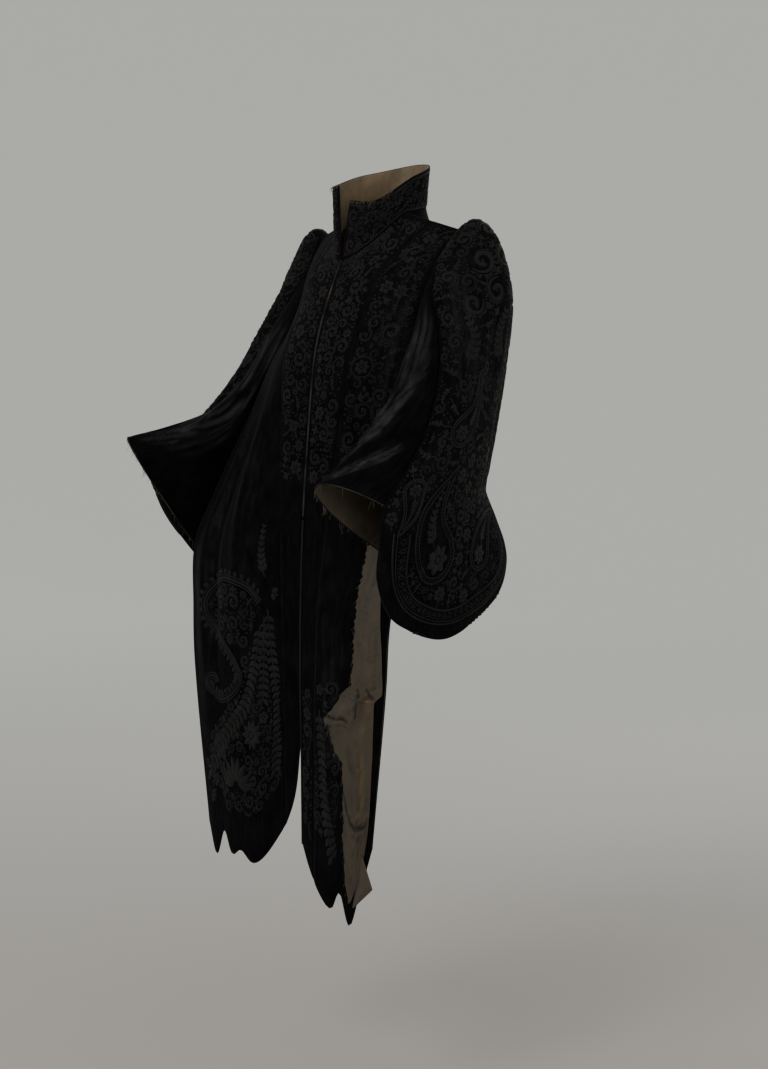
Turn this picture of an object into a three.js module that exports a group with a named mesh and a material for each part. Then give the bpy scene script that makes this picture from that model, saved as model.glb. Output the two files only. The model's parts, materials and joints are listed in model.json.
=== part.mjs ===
// A velvet dolman of about 1889: a mantle with a high stand collar, sling sleeves that widen into round
// hanging lobes, a short back with a flared skirt, and two long front tabs with fingered ends.
// It is modelled as worn: open at the neck, the hem, the sleeve mouths and down the front.
// Millimetres. +Z is up, the fronts face -Y, and the wearer's left is +X.
// The origin lies inside the neck, level with the shoulder ends of the neckline.
import * as THREE from 'three';

// Cloth and seams
const VELVET = 2.0; // wall of velvet, interlining and lining together
const TAFFETA = 1.2; // wall of the loosened front lining
const SEAM_PULL = 0.2; // each piece stops this far short of its seam
const LAID_ON = 1.2; // clearance under cloth that lies on another piece
const MITRE_LEAST = 0.72; // least cosine used where two walls meet at an angle
const MITRE_REACH = 7; // seam points this close together lean their walls the same way

// Neckline: an ellipse seen from above, lower at the front than at the nape
const NECK = { halfWidth: 60, halfDepth: 83, centreY: -16, frontZ: -77, sideZ: -2, napeZ: 12 };
const FRONT_OPENING = 2.5; // from the centre line to each front edge
const SHOULDER_END = { x: 165, y: 3, z: -32 };
const SEAM_ON_SHOULDER = 0.5; // share of the shoulder where the princess seam starts

// Stations down the garment. Every piece is cut across at the same stations, so that seams match.
// 0 is the neck and shoulder line, 1 to 8 the joined part, 8 the lowest point of the sleeve joins.
const BODY_STATIONS = [0, 0.08, 0.2, 0.35, 0.5, 0.7, 1, 1.2, 1.5, 2, 2.5, 3, 3.5, 4, 4.5, 5, 5.5,
  6, 6.5, 7, 7.5, 8];
const JOIN_END = 8;
const FRONT_TURN = 10; // station where the front tabs begin to taper to their hems
const FRONT_END = 12;
const BACK_END = 10;
const LOBE_END = 12;
const CAP_START = 0.08;
const GUSSET_START = 1.2;

// Columns of facets across each piece
const COLUMNS = { neck: 4, shoulderInner: 2, sideFront: 8, sleeveOuter: 16, sleeveInner: 10 };

// The centre front edge, the same on both sides, and how far the cloth bows forward between its edges
const CENTRE_FRONT = [
  { at: 0, y: -99, z: -77 },
  { at: 1, y: -112, z: -105 },
  { at: 2, y: -131, z: -150 },
  { at: 3, y: -148, z: -200 },
  { at: 4, y: -158, z: -250 },
  { at: 5, y: -165, z: -316 },
  { at: 6, y: -171, z: -380 },
  { at: 7, y: -177, z: -450 },
  { at: 8, y: -182, z: -540 },
  { at: 9, y: -185, z: -640 },
  { at: 10, y: -186, z: -740 },
  { at: 12, y: -184, z: -820 },
];

// The centre back seam, from the nape to the hem of the flared skirt
const CENTRE_BACK = [
  { at: 0, y: 67, z: 12 },
  { at: 1, y: 84, z: -42 },
  { at: 2, y: 98, z: -108 },
  { at: 3, y: 105, z: -170 },
  { at: 4, y: 105, z: -230 },
  { at: 5, y: 99, z: -290 },
  { at: 6, y: 91, z: -345 },
  { at: 7, y: 85, z: -395 },
  { at: 8, y: 86, z: -440 },
  { at: 9, y: 122, z: -492 },
  { at: 10, y: 172, z: -562 },
];

// The side edge of the back, which carries the sleeve down to the waist and is free below it
const BACK_EDGE = [
  { at: 0, x: 165, y: 3, z: -32 },
  { at: 1, x: 156, y: 50, z: -75 },
  { at: 2, x: 152, y: 80, z: -130 },
  { at: 3, x: 152, y: 94, z: -185 },
  { at: 4, x: 150, y: 96, z: -240 },
  { at: 5, x: 146, y: 92, z: -295 },
  { at: 6, x: 141, y: 84, z: -350 },
  { at: 7, x: 135, y: 75, z: -400 },
  { at: 8, x: 130, y: 68, z: -440 },
  { at: 9, x: 130, y: 98, z: -490 },
  { at: 10, x: 126, y: 142, z: -545 },
];

const BACK_BOW = [
  { at: 0, out: 0 },
  { at: 1, out: 16 },
  { at: 2, out: 18 },
  { at: 4, out: 16 },
  { at: 6, out: 14 },
  { at: 8, out: 12 },
  { at: 10, out: 16 },
];

// What differs between the two sides, because the arms are held apart by different amounts.
// frontEdge is the side edge of the front. seam is the princess seam's distance from the centre line.
// outer is the sleeve's outermost line, fold its front fold, and piecing the seam between the trimmed
// outer sleeve and the plain inner sleeve; below station 8 the piecing is the lobe's front edge.
const LEFT = {
  name: 'left',
  sign: 1,
  frontEdge: [
    { at: 0, x: 165, y: 3, z: -32 },
    { at: 1, x: 150, y: -36, z: -80 },
    { at: 2, x: 143, y: -60, z: -140 },
    { at: 3, x: 146, y: -74, z: -195 },
    { at: 4, x: 152, y: -88, z: -250 },
    { at: 5, x: 163, y: -103, z: -316 },
    { at: 6, x: 170, y: -115, z: -380 },
    { at: 7, x: 176, y: -127, z: -450 },
    { at: 8, x: 182, y: -142, z: -540 },
    { at: 9, x: 186, y: -166, z: -640 },
    { at: 10, x: 184, y: -172, z: -740 },
    { at: 12, x: 152, y: -170, z: -960 },
  ],
  bow: [
    { at: 0, out: 0 },
    { at: 1, out: 20 },
    { at: 2, out: 22 },
    { at: 3, out: 27 },
    { at: 4, out: 30 },
    { at: 5, out: 22 },
    { at: 6, out: 17 },
    { at: 8, out: 12 },
    { at: 12, out: 10 },
  ],
  seam: [
    { at: 0, x: 112 },
    { at: 1, x: 84 },
    { at: 2, x: 78 },
    { at: 4, x: 74 },
    { at: 6, x: 62 },
    { at: 8, x: 46 },
    { at: 10, x: 38 },
    { at: 12, x: 32 },
  ],
  hem: [
    { share: 0, z: -1000 },
    { share: 0.12, z: -1034 },
    { share: 0.3, z: -1072 },
    { share: 0.48, z: -1090 },
    { share: 0.6, z: -1062 },
    { share: 0.72, z: -1112 },
    { share: 0.84, z: -1064 },
    { share: 1, z: -985 },
  ],
  outer: [
    { at: 0, x: 166, y: 4, z: -32 },
    { at: 0.3, x: 179, y: 9, z: -20 },
    { at: 0.6, x: 193, y: 12, z: -17 },
    { at: 0.8, x: 208, y: 13, z: -28 },
    { at: 1, x: 221, y: 14, z: -49 },
    { at: 1.5, x: 233, y: 14, z: -88 },
    { at: 2, x: 238, y: 13, z: -127 },
    { at: 3, x: 240, y: 8, z: -181 },
    { at: 4, x: 242, y: -3, z: -235 },
    { at: 5, x: 243, y: -17, z: -290 },
    { at: 6, x: 245, y: -34, z: -345 },
    { at: 7, x: 246, y: -54, z: -398 },
    { at: 8, x: 247, y: -72, z: -443 },
    { at: 9, x: 247, y: -80, z: -497 },
    { at: 10, x: 245, y: -86, z: -552 },
    { at: 11, x: 240, y: -90, z: -610 },
    { at: 12, x: 231, y: -92, z: -657 },
  ],
  squareness: [
    { at: 0, power: 0.6 },
    { at: 2, power: 0.58 },
    { at: 3.5, power: 0.68 },
    { at: 5, power: 0.68 },
    { at: 8, power: 0.82 },
    { at: 9, power: 0.7 },
    { at: 10, power: 0.6 },
    { at: 12, power: 0.9 },
  ],
  piecing: [
    { at: 1, x: 150, y: -36, z: -80 },
    { at: 2, x: 160, y: -57, z: -125 },
    { at: 3, x: 190, y: -70, z: -180 },
    { at: 4, x: 216, y: -90, z: -235 },
    { at: 5, x: 230, y: -113, z: -290 },
    { at: 6, x: 237, y: -142, z: -345 },
    { at: 7, x: 239, y: -182, z: -398 },
    { at: 8, x: 238, y: -222, z: -447 },
    { at: 9, x: 239, y: -234, z: -505 },
    { at: 10, x: 239, y: -238, z: -560 },
    { at: 11, x: 235, y: -206, z: -617 },
    { at: 12, x: 229, y: -134, z: -652 },
  ],
  fold: [
    { at: 1, x: 150, y: -36, z: -80 },
    { at: 1.5, x: 151, y: -48, z: -107 },
    { at: 2, x: 155, y: -64, z: -136 },
    { at: 3, x: 176, y: -99, z: -187 },
    { at: 4, x: 188, y: -135, z: -235 },
    { at: 5, x: 195, y: -175, z: -288 },
    { at: 6, x: 196, y: -218, z: -335 },
    { at: 7, x: 189, y: -262, z: -383 },
    { at: 8, x: 176, y: -304, z: -426 },
  ],
  lobeBack: [
    { at: 8, x: 130, y: 68, z: -440 },
    { at: 9, x: 160, y: 73, z: -486 },
    { at: 10, x: 190, y: 76, z: -545 },
    { at: 11, x: 206, y: 44, z: -603 },
    { at: 12, x: 222, y: -48, z: -650 },
  ],
  innerPower: 1.15,
  creases: [
    { name: 'armpit to wrist', share: 0.36, halfWidth: 0.13, depth: -9, from: 2, to: 7.6 },
    { name: 'above the wrist', share: 0.6, halfWidth: 0.12, depth: -6, from: 3.4, to: 8.6 },
    { name: 'beside the piecing', share: 0.16, halfWidth: 0.1, depth: -5, from: 4.6, to: 8.4 },
  ],
  folds: [
    { name: 'below the bust', share: 0.58, halfWidth: 0.2, depth: 7, from: 4.5, to: 10.4 },
    { name: 'beside the tab', share: 0.83, halfWidth: 0.17, depth: 4, from: 6.4, to: 11.6 },
  ],
};

const RIGHT = {
  name: 'right',
  sign: -1,
  frontEdge: [
    { at: 0, x: 165, y: 3, z: -32 },
    { at: 1, x: 150, y: -36, z: -80 },
    { at: 2, x: 144, y: -62, z: -140 },
    { at: 3, x: 154, y: -78, z: -190 },
    { at: 4, x: 173, y: -95, z: -240 },
    { at: 5, x: 199, y: -114, z: -302 },
    { at: 6, x: 226, y: -136, z: -375 },
    { at: 7, x: 254, y: -160, z: -455 },
    { at: 8, x: 279, y: -182, z: -540 },
    { at: 9, x: 276, y: -188, z: -640 },
    { at: 10, x: 270, y: -190, z: -740 },
    { at: 12, x: 236, y: -188, z: -1000 },
  ],
  bow: [
    { at: 0, out: 0 },
    { at: 1, out: 20 },
    { at: 2, out: 22 },
    { at: 3, out: 27 },
    { at: 4, out: 30 },
    { at: 5, out: 24 },
    { at: 6, out: 20 },
    { at: 8, out: 18 },
    { at: 12, out: 16 },
  ],
  seam: [
    { at: 0, x: 112 },
    { at: 1, x: 84 },
    { at: 2, x: 78 },
    { at: 4, x: 74 },
    { at: 6, x: 62 },
    { at: 8, x: 46 },
    { at: 10, x: 38 },
    { at: 12, x: 34 },
  ],
  hem: [
    { share: 0, z: -820 },
    { share: 0.04, z: -905 },
    { share: 0.1, z: -955 },
    { share: 0.2, z: -995 },
    { share: 0.34, z: -1034 },
    { share: 0.45, z: -1046 },
    { share: 0.57, z: -1030 },
    { share: 0.68, z: -1040 },
    { share: 0.78, z: -1006 },
    { share: 0.89, z: -1050 },
    { share: 1, z: -1000 },
  ],
  outer: [
    { at: 0, x: 166, y: 4, z: -32 },
    { at: 0.3, x: 179, y: 9, z: -20 },
    { at: 0.6, x: 193, y: 12, z: -17 },
    { at: 0.8, x: 208, y: 13, z: -28 },
    { at: 1, x: 221, y: 14, z: -49 },
    { at: 1.5, x: 234, y: 13, z: -90 },
    { at: 2, x: 240, y: 10, z: -130 },
    { at: 3, x: 247, y: 4, z: -184 },
    { at: 4, x: 258, y: -8, z: -237 },
    { at: 5, x: 274, y: -25, z: -287 },
    { at: 6, x: 291, y: -45, z: -337 },
    { at: 7, x: 306, y: -62, z: -387 },
    { at: 8, x: 314, y: -75, z: -432 },
    { at: 9, x: 316, y: -72, z: -482 },
    { at: 10, x: 313, y: -62, z: -534 },
    { at: 11, x: 305, y: -48, z: -590 },
    { at: 12, x: 294, y: -36, z: -640 },
  ],
  squareness: [
    { at: 0, power: 0.6 },
    { at: 2, power: 0.55 },
    { at: 5, power: 0.6 },
    { at: 8, power: 0.75 },
    { at: 10, power: 0.65 },
    { at: 12, power: 0.9 },
  ],
  piecing: [
    { at: 1, x: 150, y: -36, z: -80 },
    { at: 2, x: 168, y: -55, z: -124 },
    { at: 3, x: 204, y: -64, z: -178 },
    { at: 4, x: 232, y: -80, z: -232 },
    { at: 5, x: 256, y: -102, z: -284 },
    { at: 6, x: 280, y: -134, z: -330 },
    { at: 7, x: 302, y: -178, z: -374 },
    { at: 8, x: 318, y: -228, z: -413 },
    { at: 9, x: 319, y: -206, z: -472 },
    { at: 10, x: 316, y: -162, z: -534 },
    { at: 11, x: 308, y: -118, z: -592 },
    { at: 12, x: 295, y: -66, z: -636 },
  ],
  fold: [
    { at: 1, x: 150, y: -36, z: -80 },
    { at: 1.5, x: 153, y: -48, z: -107 },
    { at: 2, x: 160, y: -66, z: -138 },
    { at: 3, x: 189, y: -90, z: -192 },
    { at: 4, x: 205, y: -113, z: -243 },
    { at: 5, x: 222, y: -144, z: -292 },
    { at: 6, x: 243, y: -188, z: -328 },
    { at: 7, x: 267, y: -246, z: -352 },
    { at: 8, x: 288, y: -305, z: -372 },
  ],
  lobeBack: [
    { at: 8, x: 130, y: 68, z: -440 },
    { at: 9, x: 168, y: 78, z: -482 },
    { at: 10, x: 220, y: 82, z: -532 },
    { at: 11, x: 254, y: 56, z: -588 },
    { at: 12, x: 278, y: 2, z: -634 },
  ],
  innerPower: 1.5,
  creases: [
    { name: 'armpit to elbow', share: 0.72, halfWidth: 0.13, depth: -9, from: 2.4, to: 7.2 },
    { name: 'along the forearm', share: 0.3, halfWidth: 0.12, depth: -6, from: 4, to: 8.4 },
    { name: 'to the side', share: 0.88, halfWidth: 0.1, depth: -5, from: 4.6, to: 8.2 },
  ],
  folds: [
    { name: 'from the arm', share: 0.55, halfWidth: 0.17, depth: 11, from: 4.2, to: 10.4 },
    { name: 'beside the edge', share: 0.84, halfWidth: 0.15, depth: 9, from: 5.5, to: 11.8 },
  ],
};

// Stand collar: as wide as the neckline, taller at the back, with the left corner turned lower
const COLLAR = {
  halfWidth: 61,
  halfDepth: 84,
  centreY: -9,
  frontSpread: 13,
  rows: 4,
  top: [
    { turn: 0, z: 16 },
    { turn: 0.12, z: 16 },
    { turn: 0.28, z: 58 },
    { turn: 0.5, z: 81 },
    { turn: 0.72, z: 64 },
    { turn: 0.88, z: 42 },
    { turn: 1, z: 40 },
  ],
};

// The lining that has come loose and turned out over the left front's side edge.
// share is across the left front, 0 at the centre front and 1 at the side.
const LOOSE_LINING = [
  { at: 7.7, inner: 0.74, outer: 0.985 },
  { at: 8.5, inner: 0.7, outer: 0.985 },
  { at: 9.3, inner: 0.69, outer: 0.985 },
  { at: 9.9, inner: 0.68, outer: 0.98 },
  { at: 10.3, inner: 0.37, outer: 0.94 },
  { at: 10.5, inner: 0.44, outer: 0.94 },
  { at: 10.9, inner: 0.6, outer: 0.95 },
  { at: 11.4, inner: 0.7, outer: 0.97 },
  { at: 11.8, inner: 0.8, outer: 0.94 },
];
const LINING_COLUMNS = 5;
const LINING_STEP = 0.2;

// Raised applique: soft teardrops and bands in the outer points, over a plain inside.
// share and at are the middle of each, halfShare and halfSpan its reach, and taper narrows its upper end.
const APPLIQUE_RISE = 1.5;
const SLEEVE_MOTIFS = [
  { name: 'lobe paisley', share: 0.53, at: 10.1, halfShare: 0.24, halfSpan: 1.3, taper: 0.5 },
  { name: 'forearm scroll', share: 0.56, at: 6.9, halfShare: 0.16, halfSpan: 1.4, taper: 0.2 },
  { name: 'upper scroll', share: 0.55, at: 3.6, halfShare: 0.16, halfSpan: 1.6, taper: 0.2 },
  { name: 'head scroll', share: 0.52, at: 1.2, halfShare: 0.26, halfSpan: 0.7, taper: 0 },
];
const TAB_MOTIFS = {
  left: [
    { name: 'tab paisley', share: 0.36, at: 11, halfShare: 0.3, halfSpan: 0.9, taper: 0.6 },
  ],
  right: [
    { name: 'tab paisley', share: 0.4, at: 10.4, halfShare: 0.3, halfSpan: 1.5, taper: 0.6 },
    { name: 'upper hook', share: 0.66, at: 8.7, halfShare: 0.16, halfSpan: 0.9, taper: 0.2 },
  ],
};

const MATERIALS = {
  velvet: new THREE.MeshStandardMaterial({ color: 0x0c0b0c, roughness: 0.9, metalness: 0 }),
  lining: new THREE.MeshStandardMaterial({ color: 0x4a3f33, roughness: 0.6, metalness: 0 }),
};

const lerp = THREE.MathUtils.lerp;
const clamp = THREE.MathUtils.clamp;
const smoothstep = THREE.MathUtils.smoothstep;

// Reads one column of a table at a station, on a smooth curve through the table's rows.
function read(table, at, column, key = 'at') {
  const last = table.length - 1;
  const place = clamp(at, table[0][key], table[last][key]);
  let i = 0;
  while (i < last - 1 && place > table[i + 1][key]) i += 1;
  const span = table[i + 1][key] - table[i][key];
  const slope = (k) => {
    const before = table[Math.max(k - 1, 0)];
    const after = table[Math.min(k + 1, last)];
    return (after[column] - before[column]) / (after[key] - before[key]);
  };
  const t = (place - table[i][key]) / span;
  const a = table[i][column];
  const b = table[i + 1][column];
  const m0 = slope(i) * span;
  const m1 = slope(i + 1) * span;
  return a + t * (m0 + t * (3 * (b - a) - 2 * m0 - m1 + t * (2 * (a - b) + m0 + m1)));
}

// Reads one column of a table at a station, in straight lines between the table's rows.
function readStraight(table, at, column, key = 'at') {
  const last = table.length - 1;
  let i = 0;
  while (i < last - 1 && at > table[i + 1][key]) i += 1;
  const share = clamp((at - table[i][key]) / (table[i + 1][key] - table[i][key]), 0, 1);
  return lerp(table[i][column], table[i + 1][column], share);
}

const point = (table, at) =>
  new THREE.Vector3(read(table, at, 'x'), read(table, at, 'y'), read(table, at, 'z'));

// Stations between two limits, every step apart
function stationsBetween(from, to, step) {
  const count = Math.round((to - from) / step);
  return Array.from({ length: count }, (_, i) => from + ((i + 1) * (to - from)) / count);
}

// How far a table of soft folds lifts the cloth at a station and a share across
function waves(folds, at, share) {
  return folds.reduce((sum, fold) => {
    const across = clamp((share - fold.share) / fold.halfWidth, -1, 1);
    const along = clamp((at - fold.from) / (fold.to - fold.from), 0, 1);
    return sum + fold.depth * (0.5 + 0.5 * Math.cos(Math.PI * across)) * Math.sin(Math.PI * along) ** 2;
  }, 0);
}

// How far the raised motifs stand out at a station and a share across
function applique(motifs, at, share) {
  return motifs.reduce((most, motif) => {
    const up = clamp((motif.at - at) / motif.halfSpan, -1, 1);
    const reach = motif.halfShare * (1 - motif.taper * (0.5 + 0.5 * up));
    const out = Math.hypot((share - motif.share) / reach, (at - motif.at) / motif.halfSpan);
    return Math.max(most, APPLIQUE_RISE * (1 - smoothstep(out, 0.8, 1.05)));
  }, 0);
}

// A point on the neckline: turn 0 is the centre front, 1 the shoulder, 2 the nape.
function neckPoint(turn) {
  const least = Math.asin(FRONT_OPENING / NECK.halfWidth);
  const angle = Math.max((turn * Math.PI) / 2, turn < 1 ? least : 0);
  const forward = Math.cos(angle);
  const drop = forward > 0 ? NECK.frontZ - NECK.sideZ : NECK.napeZ - NECK.sideZ;
  const ends = turn >= 2 ? 0 : Math.sin(angle);
  return new THREE.Vector3(
    NECK.halfWidth * ends,
    NECK.centreY - NECK.halfDepth * forward,
    NECK.sideZ + drop * Math.abs(forward) ** 1.25,
  );
}

// A point on the shoulder seam: share 0 is the neck, 1 the sleeve.
function shoulderPoint(share) {
  return neckPoint(1).lerp(new THREE.Vector3(SHOULDER_END.x, SHOULDER_END.y, SHOULDER_END.z), share);
}

// A point on one side's front below the shoulder: share 0 is the centre front edge, 1 the side edge.
function frontSurface(side, at, share) {
  const edge = point(side.frontEdge, at);
  const centre = new THREE.Vector3(
    FRONT_OPENING,
    read(CENTRE_FRONT, at, 'y'),
    read(CENTRE_FRONT, Math.min(at, FRONT_TURN), 'z'),
  );
  const spot = centre.clone().lerp(edge, share);
  spot.y -= read(side.bow, at, 'out') * Math.sin(Math.PI * share);
  if (at > FRONT_TURN) {
    const turnZ = lerp(read(CENTRE_FRONT, FRONT_TURN, 'z'), read(side.frontEdge, FRONT_TURN, 'z'), share);
    const down = (at - FRONT_TURN) / (FRONT_END - FRONT_TURN);
    spot.z = lerp(turnZ, readStraight(side.hem, share, 'z', 'share'), down);
  }
  spot.y -= waves(side.folds, at, share);
  return spot;
}

// A point on the back below the shoulder: share 0 is the centre back seam, 1 the side edge.
function backSurface(at, share) {
  const centre = new THREE.Vector3(0, read(CENTRE_BACK, at, 'y'), read(CENTRE_BACK, at, 'z'));
  const spot = centre.lerp(point(BACK_EDGE, at), share);
  spot.y += read(BACK_BOW, at, 'out') * Math.sin(Math.PI * share);
  return spot;
}

// Carries a column smoothly from the neck and shoulder line, at station 0, into the surface below.
function fromShoulder(start, surface, at) {
  if (at >= 1) return surface(at);
  const end = surface(1);
  const step = 0.001;
  const leaving = surface(1 + step).sub(end).divideScalar(step);
  const setting = end.clone().sub(start).multiplyScalar(2).sub(leaving);
  const a = start.clone().multiplyScalar(2 * at ** 3 - 3 * at ** 2 + 1);
  const b = setting.multiplyScalar(at ** 3 - 2 * at ** 2 + at);
  const c = end.multiplyScalar(3 * at ** 2 - 2 * at ** 3);
  return a.add(b).add(c).add(leaving.multiplyScalar(at ** 3 - at ** 2));
}

const seamShare = (side, at) =>
  (read(side.seam, at, 'x') - FRONT_OPENING) / (read(side.frontEdge, at, 'x') - FRONT_OPENING);

const FRONT_STATIONS = [...BODY_STATIONS, ...stationsBetween(JOIN_END, FRONT_END, 0.4)];

// The narrow front between the centre front edge and the princess seam
function centreFrontGrid(side) {
  const across = COLUMNS.neck + COLUMNS.shoulderInner;
  return FRONT_STATIONS.map((at) =>
    Array.from({ length: across + 1 }, (_, i) => {
      const start = i <= COLUMNS.neck
        ? neckPoint(i / COLUMNS.neck)
        : shoulderPoint(((i - COLUMNS.neck) / COLUMNS.shoulderInner) * SEAM_ON_SHOULDER);
      return fromShoulder(start, (t) => frontSurface(side, t, (seamShare(side, t) * i) / across), at);
    }));
}

// The wide front between the princess seam and the side edge
function sideFrontGrid(side) {
  return FRONT_STATIONS.map((at) =>
    Array.from({ length: COLUMNS.sideFront + 1 }, (_, i) => {
      const share = i / COLUMNS.sideFront;
      if (i === COLUMNS.sideFront && at < 1) return point(side.frontEdge, at);
      const start = shoulderPoint(lerp(SEAM_ON_SHOULDER, 1, share));
      return fromShoulder(start, (t) => frontSurface(side, t, lerp(seamShare(side, t), 1, share)), at);
    }));
}

// Half of the back, from the centre back seam to the side edge
function backGrid() {
  const stations = [...BODY_STATIONS, ...stationsBetween(JOIN_END, BACK_END, 0.4)];
  const starts = [
    ...Array.from({ length: COLUMNS.neck + 1 }, (_, i) => neckPoint(2 - i / COLUMNS.neck)),
    ...Array.from({ length: COLUMNS.shoulderInner }, (_, i) =>
      shoulderPoint(((i + 1) / COLUMNS.shoulderInner) * SEAM_ON_SHOULDER)),
    ...Array.from({ length: COLUMNS.sideFront }, (_, i) =>
      shoulderPoint(lerp(SEAM_ON_SHOULDER, 1, (i + 1) / COLUMNS.sideFront))),
  ];
  const across = starts.length - 1;
  return stations.map((at) =>
    starts.map((start, i) =>
      (i === across && at < 1
        ? point(BACK_EDGE, at)
        : fromShoulder(start, (t) => backSurface(t, i / across), at))));
}

// A rounded row of cloth from one edge, out through a far point, to another edge
function roundedRow(from, through, to, power, columns) {
  const reach = through.clone().sub(from.clone().lerp(to, 0.5));
  return Array.from({ length: columns + 1 }, (_, i) => {
    const angle = (Math.PI * i) / columns;
    const swell = i === 0 || i === columns ? 0 : Math.sin(angle) ** power;
    return from.clone().lerp(to, (1 - Math.cos(angle)) / 2).addScaledVector(reach, swell);
  });
}

const SLEEVE_STATIONS = [
  ...BODY_STATIONS.filter((at) => at >= CAP_START),
  ...stationsBetween(JOIN_END, LOBE_END, 0.32),
];

// The outer sleeve: from the back edge, round the arm, to the piecing, and down into the round lobe
function sleeveOuterGrid(side) {
  return SLEEVE_STATIONS.map((at) => {
    const back = at <= JOIN_END ? point(BACK_EDGE, at) : point(side.lobeBack, at);
    const front = at < GUSSET_START ? point(side.frontEdge, at) : point(side.piecing, at);
    const power = read(side.squareness, at, 'power');
    return roundedRow(back, point(side.outer, at), front, power, COLUMNS.sleeveOuter);
  });
}

// The plain inner sleeve: from the piecing, over the front fold of the arm, back to the front's edge
function sleeveInnerGrid(side) {
  const stations = BODY_STATIONS.filter((at) => at >= GUSSET_START);
  return stations.map((at) => {
    const from = point(side.piecing, at);
    const through = point(side.fold, at);
    const to = point(side.frontEdge, at);
    const outward = through.clone().sub(from.clone().lerp(to, 0.5)).normalize();
    return roundedRow(from, through, to, side.innerPower, COLUMNS.sleeveInner).map((spot, i) =>
      spot.addScaledVector(outward, waves(side.creases, at, i / COLUMNS.sleeveInner)));
  });
}

// The stand collar, from the left front corner round the nape to the right front corner
function collarGrid() {
  const columns = COLUMNS.neck * 4;
  return Array.from({ length: COLLAR.rows + 1 }, (_, row) => {
    const rise = row / COLLAR.rows;
    return Array.from({ length: columns + 1 }, (__, i) => {
      const turn = i / columns;
      const quarter = turn <= 0.5 ? turn * 4 : (1 - turn) * 4;
      const base = neckPoint(quarter);
      if (turn > 0.5) base.x = -base.x;
      const angle = 2 * Math.PI * turn;
      const spread = Math.abs(Math.cos(angle / 2)) ** 6 * COLLAR.frontSpread * (turn < 0.5 ? 1 : -1);
      const top = new THREE.Vector3(
        COLLAR.halfWidth * Math.sin(angle) + spread,
        COLLAR.centreY - COLLAR.halfDepth * Math.cos(angle),
        read(COLLAR.top, turn, 'z', 'turn'),
      );
      return base.lerp(top, rise);
    });
  });
}

// How far each row and column of a grid stands out, for a piece that carries motifs
const rise = (stations, motifs) => (r, c, columns) => applique(motifs, stations[r], c / columns);
const plain = () => 0;

// A grid with its raised motifs standing out along its normals
const stoodOut = (grid, normals, raised) =>
  grid.map((line, r) =>
    line.map((spot, c) => spot.clone().addScaledVector(normals[r][c], raised(r, c, line.length - 1))));

// The loosened lining, laid on the facets of the left side front
function looseLiningGrid() {
  const flat = sideFrontGrid(LEFT);
  const panel = stoodOut(flat, gridNormals(flat, -1), rise(FRONT_STATIONS, TAB_MOTIFS.left));
  const onPanel = (at, share) => {
    const seam = seamShare(LEFT, at);
    const across = clamp((share - seam) / (1 - seam), 0, 0.999) * COLUMNS.sideFront;
    const column = Math.floor(across);
    const row = Math.min(FRONT_STATIONS.findIndex((s) => s > at), FRONT_STATIONS.length - 1) - 1;
    const down = (at - FRONT_STATIONS[row]) / (FRONT_STATIONS[row + 1] - FRONT_STATIONS[row]);
    const along = (line) => line[column].clone().lerp(line[column + 1], across - column);
    return along(panel[row]).lerp(along(panel[row + 1]), down);
  };
  const stations = LOOSE_LINING.flatMap((row, i) =>
    (i === 0 ? [row.at] : stationsBetween(LOOSE_LINING[i - 1].at, row.at, LINING_STEP)));
  return stations.map((at) =>
    Array.from({ length: LINING_COLUMNS + 1 }, (_, i) => {
      const inner = readStraight(LOOSE_LINING, at, 'inner');
      const share = lerp(inner, readStraight(LOOSE_LINING, at, 'outer'), i / LINING_COLUMNS);
      return onPanel(at, share);
    }));
}

// Unit normals of a grid of points, all on the side that `facing` gives.
function gridNormals(grid, facing) {
  const rows = grid.length - 1;
  const columns = grid[0].length - 1;
  return grid.map((line, r) =>
    line.map((_, c) => {
      const down = grid[Math.min(r + 1, rows)][c].clone().sub(grid[Math.max(r - 1, 0)][c]);
      const along = line[Math.min(c + 1, columns)].clone().sub(line[Math.max(c - 1, 0)]);
      return along.cross(down).normalize().multiplyScalar(facing);
    }));
}

const isRim = (grid, r, c) =>
  r === 0 || c === 0 || r === grid.length - 1 || c === grid[0].length - 1;

// Shortens a line of points by an amount at each end, keeping its points in proportion.
function shortened(line, amount) {
  const lengths = [0];
  for (let i = 1; i < line.length; i += 1) {
    lengths.push(lengths[i - 1] + line[i].distanceTo(line[i - 1]));
  }
  const whole = lengths[line.length - 1];
  const ends = Math.min(amount, whole / 4);
  return line.map((spot, i) => {
    const along = ends + (lengths[i] * (whole - 2 * ends)) / whole;
    let k = 0;
    while (k < line.length - 2 && along > lengths[k + 1]) k += 1;
    return line[k].clone().lerp(line[k + 1], (along - lengths[k]) / (lengths[k + 1] - lengths[k]));
  });
}

const turned = (grid) => grid[0].map((_, c) => grid.map((line) => line[c]));

// Moves the whole rim of a grid a little way into its own piece.
const pulledIn = (grid, amount) =>
  turned(turned(grid.map((line) => shortened(line, amount))).map((line) => shortened(line, amount)));

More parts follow.
